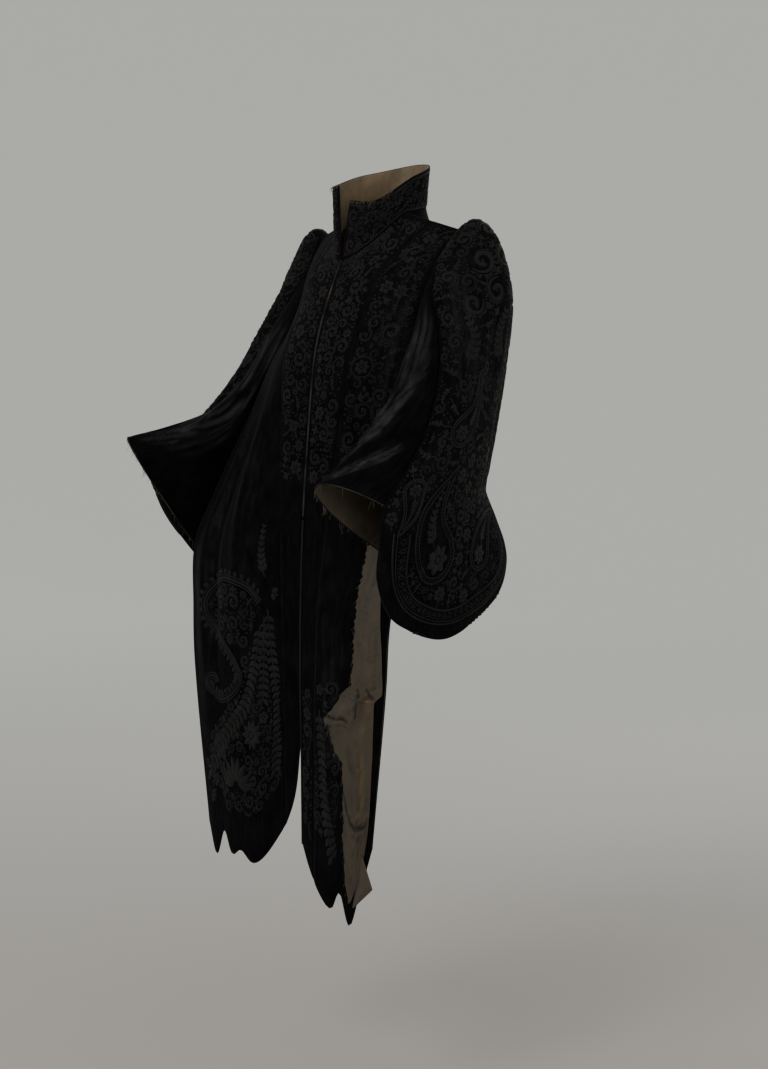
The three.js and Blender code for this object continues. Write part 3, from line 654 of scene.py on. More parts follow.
class Num:
    """A number that varies over a surface: a shader socket on which Python's operators add Math nodes."""

    def __init__(self, shading: "Shading", socket: Socket) -> None:
        """Wraps a socket of a shading's tree."""
        self.shading = shading
        self.socket = socket

    def _math(self, operation: str, first: "Num | float", second: "Num | float") -> "Num":
        """Adds one Math node."""
        made = self.shading.node("ShaderNodeMath", {"operation": operation}, {0: first, 1: second})
        return Num(self.shading, made.outputs[0])

    def __add__(self, other: "Num | float") -> "Num":
        """self + other"""
        return self._math("ADD", self, other)

    def __sub__(self, other: "Num | float") -> "Num":
        """self - other"""
        return self._math("SUBTRACT", self, other)

    def __rsub__(self, other: float) -> "Num":
        """other - self"""
        return self._math("SUBTRACT", other, self)

    def __mul__(self, other: "Num | float") -> "Num":
        """self * other"""
        return self._math("MULTIPLY", self, other)

    def __pow__(self, other: float) -> "Num":
        """self ** other"""
        return self._math("POWER", self, other)

    __radd__ = __add__
    __rmul__ = __mul__

    def clamped(self) -> "Num":
        """The number kept between 0 and 1."""
        made = self.shading.node("ShaderNodeClamp", {}, {"Value": self})
        return Num(self.shading, made.outputs[0])


class Shading:
    """A material that is being built, around one Principled shader."""

    def __init__(self, name: str) -> None:
        """Starts an empty material.

        Args:
            name: the material's name.
        """
        self.material = bpy.data.materials.new(name)
        self.material.use_nodes = True
        self.tree = self.material.node_tree
        self.tree.nodes.clear()
        self.shader = self.node("ShaderNodeBsdfPrincipled")
        self.node("ShaderNodeOutputMaterial", {}, {"Surface": self.shader.outputs[0]})

    def node(self, kind: str, settings: dict | None = None, inputs: dict | None = None) -> bpy.types.Node:
        """Adds a node.

        Args:
            kind: the node's type.
            settings: its own settings, set first; stops gives a colour ramp's places and colours.
            inputs: a value, a socket or a Num for each socket, by name or number.

        Returns:
            The node.
        """
        made = self.tree.nodes.new(kind)
        for key, value in (settings or {}).items():
            if key == "stops":
                ramp = made.color_ramp
                for _ in range(len(value) - 2):
                    ramp.elements.new(0.5)
                for element, (place, colour) in zip(ramp.elements, value):
                    element.position, element.color = place, (*colour, 1.0)
            else:
                setattr(made, key, value)
        for key, value in (inputs or {}).items():
            if isinstance(value, Num):
                value = value.socket
            if isinstance(value, Socket):
                self.tree.links.new(value, made.inputs[key])
            else:
                made.inputs[key].default_value = value
        return made

    def cloth(self, scale: tuple[float, float] = (1.0, 1.0)) -> Socket:
        """The cloth's own UV map in metres, stretched by scale.

        Args:
            scale: how much it is stretched across and down.

        Returns:
            The coordinates.
        """
        uv = self.node("ShaderNodeUVMap", {"uv_map": "cloth"})
        mapping = self.node("ShaderNodeMapping", {}, {"Vector": uv.outputs[0], "Scale": (*scale, 1.0)})
        return mapping.outputs[0]

    def place(self) -> Socket:
        """Object coordinates, in metres."""
        return self.node("ShaderNodeTexCoord").outputs["Object"]

    def attribute(self, name: str) -> Num:
        """A number kept on the mesh's points."""
        return Num(self, self.node("ShaderNodeAttribute", {"attribute_name": name}).outputs["Fac"])

    def noise(self, place: Socket, scale: float, detail: float = 3, rough: float = 0.55) -> Num:
        """Soft noise about 0.5."""
        inputs = {"Vector": place, "Scale": scale, "Detail": detail, "Roughness": rough}
        return Num(self, self.node("ShaderNodeTexNoise", {}, inputs).outputs[0])

    def ramped(self, value: Num, stops: list[tuple[float, float]]) -> Num:
        """A number carried through a ramp of places and values.

        Args:
            value: the number.
            stops: the places and values.

        Returns:
            The ramped number.
        """
        grey = [(place, (level, level, level)) for place, level in stops]
        made = self.node("ShaderNodeValToRGB", {"stops": grey}, {"Fac": value})
        return Num(self, made.outputs[0])

    def mixed(
        self, factor: Num, first: Colour | Socket, second: Colour
    ) -> Socket:
        """A colour between two others.

        Args:
            factor: how much of the second.
            first: the first colour.
            second: the second.

        Returns:
            The mixed colour.
        """
        base = first if isinstance(first, Socket) else (*first, 1.0)
        inputs = {0: factor, 6: base, 7: (*second, 1.0)}
        return self.node("ShaderNodeMix", {"data_type": "RGBA"}, inputs).outputs[2]

    def done(
        self, colour: Socket, rough: Num, height: Num, bump: tuple[float, float],
        specular: float = 0.5, sheen: float = 0.0, sheen_rough: float = 0.5, tint: Colour = (1.0, 1.0, 1.0),
    ) -> Material:
        """Feeds the shader what varies over the surface, and sets what doesn't.

        Args:
            colour: the base colour.
            rough: the roughness.
            height: the bump, as a share of its depth.
            bump: its strength, and its depth in metres.
            specular: the specular level.
            sheen: the sheen's weight.
            sheen_rough: the sheen's roughness.
            tint: the sheen's colour.

        Returns:
            The material.
        """
        inputs = {"Height": height, "Strength": bump[0], "Distance": bump[1]}
        normal = self.node("ShaderNodeBump", {}, inputs).outputs[0]
        for key, socket in (("Base Color", colour), ("Roughness", rough.socket), ("Normal", normal)):
            self.tree.links.new(socket, self.shader.inputs[key])
        for key, value in (
            ("Specular IOR Level", specular), ("Sheen Weight", sheen), ("Sheen Roughness", sheen_rough),
            ("Sheen Tint", (*tint, 1.0)),
        ):
            self.shader.inputs[key].default_value = value
        return self.material


@dataclass(frozen=True)
class Velvet:
    """Silk velvet: a dark pile with a cool sheen, crushed here and there, worn brown at the shoulders, with a
    painted sheen highlight on its creases.
    """

    name: str = "velvet pile"
    deep: Colour = (0.0012, 0.0011, 0.0014)
    crushed: Colour = (0.0058, 0.0055, 0.0061)
    crease_highlight: Colour = (0.031, 0.030, 0.033)
    worn: Colour = (0.0088, 0.0060, 0.0048)
    sheen: float = 0.045
    sheen_tint: Colour = (0.62, 0.63, 0.68)
    rib: float = 1400.0

    def material(self) -> Material:
        """Builds the material.

        Returns:
            The material.
        """
        s = Shading(self.name)
        pile = s.noise(s.cloth((120.0, 26.0)), 1.0, 5.0, 0.65)
        patches = s.noise(s.cloth(), 22.0, 4.0, 0.6)
        streaks = s.ramped(pile * 0.6 + patches * 0.4, [(0.42, 0.0), (0.66, 1.0)])
        # Painted sheen highlight: along the creases the colour is mixed towards a lighter one, broken up by
        # streaks.
        crease = (s.attribute("crush") * (0.3 + streaks * 0.7)).clamped()
        crushed = (streaks * 0.6 + crease * 0.4).clamped()
        colour = s.mixed(crease, s.mixed(streaks * 0.75, self.deep, self.crushed), self.crease_highlight)
        rubbed = s.noise(s.cloth(), 60.0, 5.0, 0.65)
        wear = (s.attribute("wear") * s.ramped(rubbed, [(0.36, 0.25), (0.62, 1.0)])).clamped()
        nap = s.noise(s.cloth(), self.rib, 2.0, 0.5)
        marks = s.noise(s.cloth((150.0, 42.0)), 1.0, 3.0, 0.6)
        rubbed_colour = s.mixed(wear, colour, self.worn)
        height = nap * 0.35 + marks * 0.65
        rough = 0.95 - crushed * 0.22
        return s.done(rubbed_colour, rough, height, (0.5, 0.0011), 0.05, self.sheen, 0.34, self.sheen_tint)


@dataclass(frozen=True)
class Cording:
    """Couched silk cord and braid, flatter in light than the pile around it."""

    name: str = "couched cord"
    low: Colour = (0.0045, 0.0042, 0.0043)
    high: Colour = (0.0135, 0.0124, 0.0125)
    scale: float = 620.0
    sheen: float = 0.08
    rough: float = 0.62
    sheen_tint: Colour = (0.7, 0.69, 0.7)

    def material(self) -> Material:
        """Builds the material.

        Returns:
            The material.
        """
        s = Shading(self.name)
        strands = s.noise(s.place(), self.scale, 2.0, 0.5)
        patches = s.noise(s.place(), 26.0, 3.0, 0.55)
        fade = s.ramped(strands * 0.45 + patches * 0.55, [(0.36, 0.0), (0.64, 1.0)])
        colour = s.mixed(fade, self.low, self.high)
        rough = self.rough + strands * 0.24
        return s.done(colour, rough, strands, (0.55, 0.0006), 0.14, self.sheen, 0.45, self.sheen_tint)


@dataclass(frozen=True)
class Taffeta:
    """Crisp silk lining: fine cross ribs, crumples and stains, with painted shade along its folds."""

    name: str = "taffeta lining"
    base: Colour = (0.034, 0.0262, 0.0162)
    light: Colour = (0.058, 0.0455, 0.029)
    stain_and_fold_shade: Colour = (0.0050, 0.0034, 0.0020)
    ribs: float = 1500.0
    sheen: float = 0.05
    rust: Colour = (0.105, 0.062, 0.025)

    def material(self) -> Material:
        """Builds the material.

        Returns:
            The material.
        """
        s = Shading(self.name)
        uv = s.cloth()
        wave = s.node("ShaderNodeTexWave", {"bands_direction": "Y"}, {
            "Vector": uv, "Scale": self.ribs / math.tau, "Distortion": 0.6, "Detail": 1.0,
        })
        ribs = Num(s, wave.outputs["Fac"])
        crumple = s.noise(s.cloth((34.0, 14.0)), 1.0, 4.0, 0.6)
        patches = s.noise(uv, 24.0, 4.0, 0.6)
        fade = s.ramped(crumple * 0.5 + patches * 0.5, [(0.35, 0.0), (0.66, 1.0)])
        colour = s.mixed(fade, self.base, self.light)
        spots = s.ramped(s.noise(uv, 42.0, 3.0, 0.7), [(0.56, 0.0), (0.7, 0.8)])
        # Painted shade: the folds and tucks are darkened towards the stain colour.
        fold_shade = s.ramped(s.attribute("crush"), [(0.25, 0.0), (0.9, 0.85)])
        speckle = s.ramped(s.noise(uv, 150.0, 3.0, 0.6), [(0.38, 0.25), (0.62, 1.0)])
        spotted = s.mixed(spots * 0.5, colour, self.stain_and_fold_shade)
        rusted = s.mixed((s.attribute("wear") * speckle).clamped(), spotted, self.rust)
        colour = s.mixed(fold_shade, rusted, self.stain_and_fold_shade)
        height = ribs * 0.12 + crumple * 0.88
        return s.done(colour, 0.5 + fade * 0.16, height, (0.45, 0.0022), 0.26, self.sheen)


@dataclass(frozen=True)
class Floor:
    """A plain pale floor that lightens with distance."""

    name: str = "studio floor"
    near: Colour = (0.31, 0.275, 0.245)
    far: Colour = (0.90, 0.905, 0.875)
    fade_from: float = 1.0
    fade_to: float = 5.6

    def material(self) -> Material:
        """Builds the material.

        Returns:
            The material.
        """
        s = Shading(self.name)
        length = s.node("ShaderNodeVectorMath", {"operation": "LENGTH"}, {0: s.place()})
        reach = Num(s, length.outputs["Value"])
        fade = ((reach - self.fade_from) * (1.0 / (self.fade_to - self.fade_from))).clamped()
        grain = s.noise(s.place(), 90.0, 2.0, 0.5)
        return s.done(s.mixed(fade ** 0.8, self.near, self.far), 0.86 + grain * 0.1, grain, (0.1, 0.001))


class Finishes:
    """The finishes of the garment, each built once."""

    def __init__(self) -> None:
        """Builds the materials."""
        self.velvet = Velvet().material()
        self.cord = Cording().material()
        self.braid = Cording(
            "braid and leaves", (0.0032, 0.0029, 0.0030), (0.0112, 0.0103, 0.0105), 900.0, 0.07, 0.66
        ).material()
        self.piping = Cording(
            "worn piping", (0.004, 0.0033, 0.003), (0.046, 0.036, 0.0295), 34.0, 0.05, 0.7
        ).material()
        self.lining = Taffeta().material()
        self.collar_lining = Taffeta(
            "collar lining", (0.085, 0.057, 0.030), (0.17, 0.122, 0.068), (0.03, 0.018, 0.01), 1100.0, 0.15
        ).material()
        self.thread = Cording(
            "loose thread", (0.045, 0.036, 0.028), (0.13, 0.105, 0.08), 500.0, 0.0, 0.7
        ).material()


def linked(name: str, data: bpy.types.ID) -> Piece:
    """Puts a mesh, a camera or a light into the scene as an object at the origin.

    Args:
        name: its name.
        data: the mesh, camera or light.

    Returns:
        The object.
    """
    made = bpy.data.objects.new(name, data)
    bpy.context.scene.collection.objects.link(made)
    return made


def noted(mesh: bpy.types.Mesh, key: str, values: Array) -> None:
    """Keeps a number, or a vector where there are three columns, on each point of a mesh."""
    kind, part = ("FLOAT_VECTOR", "vector") if values.ndim == 2 else ("FLOAT", "value")
    mesh.attributes.new(key, kind, "POINT").data.foreach_set(part, values.astype(np.float32).ravel())


def fitted(made: Piece, slot: str, *finishes: Material) -> Piece:
    """Gives a piece its finishes, and lets it ride on the garment's one body.

    Args:
        made: the piece.
        slot: not used.
        finishes: its materials, in order.

    Returns:
        The piece.
    """
    for finish in finishes:
        made.data.materials.append(finish)
    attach(made, "root")
    return made


def mesh_of(name: str, points: Array, faces: Array | list) -> bpy.types.Mesh:
    """Makes a smooth mesh.

    Args:
        name: the mesh's name.
        points: its points in millimetres.
        faces: the points of each face.

    Returns:
        The mesh, in metres.
    """
    mesh = bpy.data.meshes.new(name)
    listed = faces.tolist() if isinstance(faces, Array) else faces
    mesh.from_pydata((points * MM).tolist(), [], listed)
    mesh.polygons.foreach_set("use_smooth", np.ones(len(mesh.polygons), bool))
    mesh.update()
    return mesh


def settled(source: Piece, name: str) -> Piece:
    """Turns an object with a live node tree into a plain mesh object.

    Args:
        source: the object; it is removed.
        name: the new object's name.

    Returns:
        The plain object.
    """
    graph = bpy.context.evaluated_depsgraph_get()
    mesh = bpy.data.meshes.new_from_object(source.evaluated_get(graph), depsgraph=graph)
    old = source.data
    bpy.data.objects.remove(source)
    bpy.data.meshes.remove(old)
    mesh.name = name
    return linked(name, mesh)


class TreeMaker:
    """Builds a geometry node tree with named inputs."""

    def __init__(self, name: str, inputs: dict[str, str]) -> None:
        """Starts a tree.

        Args:
            name: the tree's name.
            inputs: the socket type of each input, by name.
        """
        self.tree = bpy.data.node_groups.new(name, "GeometryNodeTree")
        for key, kind in inputs.items():
            self.tree.interface.new_socket(key, in_out="INPUT", socket_type=kind)
        self.tree.interface.new_socket("Result", in_out="OUTPUT", socket_type="NodeSocketGeometry")
        self.given = self.node("NodeGroupInput", {}, {})

    def node(self, kind: str, settings: dict, inputs: dict) -> bpy.types.Node:
        """Adds a node, sets its settings, then its values or links.

        Args:
            kind: the node's type.
            settings: its own settings.
            inputs: a value or a socket for each of its sockets.

        Returns:
            The node.
        """
        made = self.tree.nodes.new(kind)
        for key, value in settings.items():
            setattr(made, key, value)
        for key, value in inputs.items():
            if isinstance(value, Socket):
                self.tree.links.new(value, made.inputs[key])
            else:
                made.inputs[key].default_value = value
        return made

    def named(self, attribute: str, kind: str) -> Socket:
        """Reads an attribute of the points."""
        made = self.node("GeometryNodeInputNamedAttribute", {"data_type": kind}, {"Name": attribute})
        return made.outputs["Attribute"]

    def close(self, geometry: Socket) -> bpy.types.NodeTree:
        """Ends the tree in Realize Instances and Set Material.

        Args:
            geometry: what the tree has made.

        Returns:
            The finished tree.
        """
        smooth = self.node("GeometryNodeSetShadeSmooth", {}, {"Geometry": geometry})
        real = self.node("GeometryNodeRealizeInstances", {}, {"Geometry": smooth.outputs[0]})
        inputs = {"Geometry": real.outputs[0], "Material": self.given.outputs["Finish"]}
        done = self.node("GeometryNodeSetMaterial", {}, inputs)
        self.node("NodeGroupOutput", {}, {"Result": done.outputs[0]})
        return self.tree


def cord_tree() -> bpy.types.NodeTree:
    """A tree that turns lines into round cord, as thick as each point's radius says.

    Returns:
        The tree.
    """
    maker = TreeMaker("round cord", {
        "Lines": "NodeSocketGeometry", "Sides": "NodeSocketInt", "Finish": "NodeSocketMaterial",
    })
    curve = maker.node("GeometryNodeMeshToCurve", {}, {"Mesh": maker.given.outputs["Lines"]})
    ring = maker.node(
        "GeometryNodeCurvePrimitiveCircle", {}, {"Resolution": maker.given.outputs["Sides"], "Radius": 1.0}
    )
    swept = maker.node("GeometryNodeCurveToMesh", {}, {
        "Curve": curve.outputs[0],
        "Profile Curve": ring.outputs[0],
        "Scale": maker.named("radius", "FLOAT"),
        "Fill Caps": True,
    })
    return maker.close(swept.outputs[0])


def scatter_tree() -> bpy.types.NodeTree:
    """A tree that sets a small shape on every point, turned and sized as the point says.

    Returns:
        The tree.
    """
    maker = TreeMaker("scattered shapes", {
        "Places": "NodeSocketGeometry", "Shape": "NodeSocketObject", "Finish": "NodeSocketMaterial",
    })
    shape = maker.node("GeometryNodeObjectInfo", {}, {"Object": maker.given.outputs["Shape"]})
    turn = maker.node("FunctionNodeEulerToRotation", {}, {"Euler": maker.named("turn", "FLOAT_VECTOR")})
    placed = maker.node("GeometryNodeInstanceOnPoints", {}, {
        "Points": maker.given.outputs["Places"],
        "Instance": shape.outputs["Geometry"],
        "Rotation": turn.outputs[0],
        "Scale": maker.named("size", "FLOAT_VECTOR"),
    })
    return maker.close(placed.outputs[0])


def run_tree(source: Piece, tree: bpy.types.NodeTree, values: dict) -> None:
    """Adds a geometry nodes modifier and sets its inputs by their identifiers.

    Args:
        source: the object.
        tree: the tree.
        values: the inputs by name.
    """
    modifier = source.modifiers.new(tree.name, "NODES")
    modifier.node_group = tree
    for item in tree.interface.items_tree:
        if item.item_type == "SOCKET" and item.name in values:
            modifier[item.identifier] = values[item.name]


def small_dome(
    name: str, power: float, rings: tuple[tuple[float, ...], ...], top: list[list[float]], around: int
) -> Piece:
    """A small dome that is scattered by the thousand.

    Args:
        name: its name.
        power: how pointed it is at its ends along X; 1 is round.
        rings: half its length, half its width and the height of its rim, then of its crown.
        top: its topmost point, or the two ends of a sunken vein.
        around: how many corners it has.

    Returns:
        The shape, one unit across and one high.
    """
    angle = np.linspace(0, 2 * np.pi, around, endpoint=False)
    side = np.sign(np.sin(angle)) * np.abs(np.sin(angle)) ** power
    points = [
        np.stack([long * np.cos(angle), wide * side, np.full(around, high)], -1) for long, wide, high in rings
    ]
    first, veined = 2 * around, len(top) > 1
    faces = []
    for i in range(around):
        j = (i + 1) % around
        ahead = veined and math.cos(angle[i] + np.pi / around) > 0
        faces += [[i, j, around + j, around + i], [around + i, around + j, first + ahead]]
    if veined:
        quarter = around // 4
        faces += [[around + quarter, first, first + 1], [around + 3 * quarter, first + 1, first]]
    return linked(name, mesh_of(name, np.concatenate([*points, top]) / MM, faces))


def leaf_shape() -> Piece:
    """A small domed leaf with a vein, one unit long along X, one wide and one high."""
    vein = [[-0.16, 0, 0.55], [0.16, 0, 0.55]]
    return small_dome("leaf shape", 1.25, ((0.5, 0.5, -0.25), (0.32, 0.3, 1.0)), vein, 12)


def bead_shape() -> Piece:
    """A small round dome, one unit across and one high."""
    return small_dome("bead shape", 1.0, ((0.5, 0.5, -0.2), (0.36, 0.36, 0.72)), [[0, 0, 1.0]], 8)


class Shape(Enum):
    """The small shapes that are scattered."""

    LEAF = "leaves"
    BEAD = "beads"


class Workshop:
    """What every piece of needlework is made with: the two trees, the small shapes and the finishes."""

    def __init__(self, finishes: Finishes) -> None:
        """Builds the trees and shapes.

        Args:
            finishes: the finishes.
        """
        self.finishes = finishes
        self.cords = cord_tree()
        self.scatter = scatter_tree()
        self.shapes = {Shape.LEAF: leaf_shape(), Shape.BEAD: bead_shape()}

    def clear(self) -> None:
        """Removes the small shapes once all needlework is made."""
        for shape in self.shapes.values():
            bpy.data.objects.remove(shape)


Cord = tuple[Array, Array]


def corded(
    shop: Workshop, name: str, lines: list[Cord], finish: Material, sides: int = 5
) -> Piece | None:
    """Makes round cords.

    Args:
        shop: the trees.
        name: the piece's name.
        lines: the points of each cord in millimetres, and its radius at each.
        finish: its material.
        sides: how many sides it has.

    Returns:
        The piece, or None when there are no lines.
    """
    if not lines:
        return None
    mesh = bpy.data.meshes.new(name)
    counts = [len(points) for points, _ in lines]
    starts = np.cumsum([0, *counts[:-1]])
    edges = np.concatenate([np.arange(n - 1) + start for n, start in zip(counts, starts)])
    points = np.concatenate([points for points, _ in lines])
    mesh.from_pydata((points * MM).tolist(), np.stack([edges, edges + 1], -1).tolist(), [])
    noted(mesh, "radius", np.concatenate([radii for _, radii in lines]) * MM)
    source = linked(f"{name} lines", mesh)
    run_tree(source, shop.cords, {"Sides": sides, "Finish": finish})
    return fitted(settled(source, name), "velvet")


def heading(angle: float | Array) -> Array:
    """A unit vector on the pattern: 0 points across and a quarter turn points down."""
    return np.stack([np.cos(angle), np.sin(angle)], -1)


def resampled(path: Array, step: float) -> Array:
    """Spaces a path's points about a step apart."""
    along = walked(path)
    return spaced(path, along, max(int(round(along[-1] / step)), 2) + 1)


def curved(knots: Iterable[tuple[float, float]], steps: int = 12) -> Array:
    """A smooth path through a few knots.

    Args:
        knots: the knots.
        steps: how many steps there are between two of them.

    Returns:
        The path.
    """
    table = Table([(i, *knot) for i, knot in enumerate(knots)])
    last = len(table.places) - 1
    return table.smooth(np.linspace(0, last, steps * last + 1))


def path_normals(path: Array) -> Array:
    """Unit normals of a path on the pattern, to its right as it runs."""
    tangent = np.gradient(path, axis=0)
    return unit(np.stack([-tangent[:, 1], tangent[:, 0]], -1))


@dataclass
class Needlework:
    """What is sewn on one panel, drawn in millimetres across and down its cloth."""

    name: str
    cloth: Spread
    seed: int
    margin: float = 5.0
    cords: list[tuple[Array, float, float]] = field(default_factory=list)
    bands: list[tuple[Array, Array, float]] = field(default_factory=list)
    leaves: list[tuple[float, ...]] = field(default_factory=list)
    beads: list[tuple[float, ...]] = field(default_factory=list)
    discs: list[tuple[float, ...]] = field(default_factory=list)

    def __post_init__(self) -> None:
        """Starts the random numbers from the seed."""
        self.dice = np.random.default_rng(self.seed)

    def cord(self, path: Array, radius: float = 0.9, lift: float = 0.5) -> None:
        """Couches a cord along a path."""
        self.cords.append((np.asarray(path, float), radius, lift))

    def band(self, path: Array, widths: Array | float, height: float = 1.3) -> None:
        """Lays a domed band along a path, as wide each way as widths says."""
        path = np.asarray(path, float)
        self.bands.append((path, np.broadcast_to(widths, len(path)).astype(float), height))

    def leaf(self, spot: Array, angle: float, length: float, width: float, height: float = 1.2) -> None:
        """Sets a leaf with its middle on a spot."""
        self.leaves.append((spot[0], spot[1], angle, length, width, height))

    def bead(self, spot: Array, size: float = 3.0, height: float = 1.2) -> None:
        """Sets a small round dome on a spot."""
        self.beads.append((spot[0], spot[1], 0.0, size, size, height))

    def keep(self, spot: Array | tuple[float, float], radius: float) -> None:
        """Keeps a round place clear of what fills the gaps later."""
        self.discs.append((float(spot[0]), float(spot[1]), radius))

    def keep_along(self, path: Array, step: float, radius: float) -> None:
        """Keeps the places along a path clear."""
        for spot in resampled(path, step):
            self.keep(spot, radius)

    def scroll(self, spot: tuple[float, float], radius: float, start: float, hand: int, *more: float) -> None:
        """Lays a spiral and keeps its place clear; more is its turns and its weight."""
        self.spiral(spot, radius, start, hand, *more)
        self.keep(spot, radius)

    def rooted_leaf(
        self, root: Array, angle: float, length: float, width: float, bend: float = 0.0
    ) -> None:
        """Lays a leaf from its root outward; a long one bends and follows the cloth.

        Args:
            root: its root.
            angle: its heading.
            length: from root to tip.
            width: at its widest.
            bend: how far it turns along its length.
        """
        root = np.asarray(root, float)
        if length < 11 and abs(bend) < 0.2:
            self.leaf(root + heading(angle) * length / 2, angle, length, width)
            return
        t = np.linspace(0, 1, 8)
        angles = angle + bend * (t - 0.3)
        steps = heading(angles) * length / 7
        path = root + np.concatenate([[[0, 0]], np.cumsum(steps[:-1], axis=0)])
        self.band(path, 0.15 + width / 2 * np.sin(np.pi * np.clip(t, 0, 1) ** 0.8) ** 0.85, 1.3)

    def spiral(
        self, centre: Array, radius: float, start: float, hand: int,
        turns: float = 1.35, weight: float = 1
    ) -> None:
        """Lays a scroll that winds inward from its rim, with leaves on its outer side.

        Args:
            centre: its middle.
            radius: of its rim.
            start: the heading from its middle at which it starts.
            hand: 1 or -1, the way it winds.
            turns: how often it goes round.
            weight: how broad its band is; 1 is usual.
        """
        count = max(int(turns * radius * 1.5), 12)
        centre, t = np.asarray(centre, float), np.linspace(0, 1, count)
        angle = start + hand * 2 * np.pi * turns * t
        reach = radius * (0.97 - 0.74 * t**0.85)
        path = centre + heading(angle) * reach[:, None]
        width = np.clip(radius * 0.135, 1.1, 2.7) * weight
        swell = np.minimum(1, 0.35 + 2.2 * t) * (1 + 0.75 * np.clip((t - 0.86) / 0.14, 0, 1))
        self.band(path, width * swell * np.minimum(1, (1.02 - t) * 30), 1.25)
        if radius > 8:
            outer = centre + heading(angle) * (reach + width + 1.3)[:, None]
            self.cord(outer[: int(count * 0.62)], 0.6)
        for share in np.arange(0.1, 0.5, 5.2 / (2 * np.pi * radius * turns) * 1.6):
            i = int(share * (count - 1))
            out = angle[i] - hand * 0.5
            size = radius * (0.34 - 0.2 * share)
            self.rooted_leaf(path[i] + heading(angle[i]) * width, out, size * 1.15, size * 0.72)
        self.bead(centre, min(radius * 0.3, 4.5))

    def flower(self, centre: Array, radius: float, petals: int, turn: float = 0.0) -> None:
        """Sets petals round a bead.

        Args:
            centre: its middle.
            radius: from its middle to its petals' tips.
            petals: how many petals it has.
            turn: the first petal's heading.
        """
        centre = np.asarray(centre, float)
        for i in range(petals):
            angle = turn + 2 * np.pi * i / petals
            root = centre + heading(angle) * radius * 0.22
            self.rooted_leaf(root, angle, radius * 0.68 * 1.1, 4.1 * radius / petals)
        self.bead(centre, radius * 0.42, 1.6)

    def stem(self, start: Array, end: Array, bend: float, radius: float = 0.75) -> Array:
        """Couches a curved stem between two spots and gives its path.

        Args:
            start: its start.
            end: its end.
            bend: how far it bows, as a share of its length.
            radius: of its cord.

        Returns:
            The path.
        """
        start, end = np.asarray(start, float), np.asarray(end, float)
        side = np.array([start[1] - end[1], end[0] - start[0]])
        middle = (start + end) / 2 + side * bend
        t = np.linspace(0, 1, 14)[:, None]
        path = start * (1 - t) ** 2 + 2 * middle * t * (1 - t) + end * t**2
        self.cord(path, radius)
        return path

    def frond(self, path: Array, root: float, tip: float, step: float, rake: float = 0.75) -> None:
        """Sets leaves in pairs along a stem.

        Args:
            path: the stem.
            root: the leaves' length at its start.
            tip: their length at its end.
            step: the distance between pairs.
            rake: how far the leaves lean from the stem.
        """
        line = resampled(path, step)
        tangent = np.gradient(line, axis=0)
        for i in range(1, len(line)):
            share = i / (len(line) - 1)
            size = root + (tip - root) * share
            along = math.atan2(tangent[i, 1], tangent[i, 0])
            for hand in (-1, 1):
                self.rooted_leaf(line[i], along + hand * rake, size, size * 0.6, -hand * 0.5)

    def teardrop(self, bulb: Array, tip: Array, radius: float, bend: float) -> None:
        """Outlines a teardrop twice, with beads between, a flower in its bulb and a frond up its tail.

        Args:
            bulb: the middle of its round end.
            tip: its point.
            radius: of its round end.
            bend: how far the tail bends sideways, as a share of its length.
        """
        bulb, tip = np.asarray(bulb, float), np.asarray(tip, float)
        away = unit(tip - bulb)
        side = np.array([-away[1], away[0]])
        length = float(np.linalg.norm(tip - bulb))
        count = 60
        t = np.linspace(0, 1, count)
        tail = bulb + away * (length * t)[:, None] + side * (bend * length * t**2 * (1.6 - 0.6 * t))[:, None]
        tail -= side * (bend * length * 0.55 * np.sin(np.pi * t))[:, None]
        width = radius * np.cos(np.pi / 2 * t) ** 1.15
        normal = path_normals(tail)
        cap = np.linspace(-np.pi / 2, np.pi / 2, 26)[1:-1]

        def outline(inset: float, least: float) -> Array:
            """The teardrop's line an inset within its edge, up to where it is narrower than the least.

            Args:
                inset: how far within the edge.
                least: the half width at which the two sides end.

            Returns:
                The line.
            """
            half = np.maximum(width - inset, 0.0)
            held = half > least
            left, right = ((tail + normal * (half * hand)[:, None])[held] for hand in (1, -1))
            reach = radius - inset
            rounded = bulb - away * (reach * np.cos(cap))[:, None] + side * (reach * np.sin(cap))[:, None]
            return np.concatenate([left[::-1], rounded[::-1], right])

        self.band(resampled(outline(0.0, 0.4), 3.0), 1.5, 1.4)
        self.cord(outline(radius * 0.2, 0.4), 0.75)
        for spot in resampled(outline(radius * 0.105, 2.2), 5.2):
            self.bead(spot, 2.6, 1.1)
        self.flower(bulb - away * radius * 0.1, radius * 0.62, 7, math.atan2(away[1], away[0]))
        rise = tail[int(count * 0.5 * radius / length): int(count * 0.72)]
        if len(rise) > 6:
            self.cord(rise, 0.8)
            self.frond(rise, radius * 0.42, radius * 0.14, radius * 0.26)
        for i in range(0, count, 3):
            self.keep(tail[i], max(width[i] + 3, 4))
        self.keep(bulb, radius + 4)

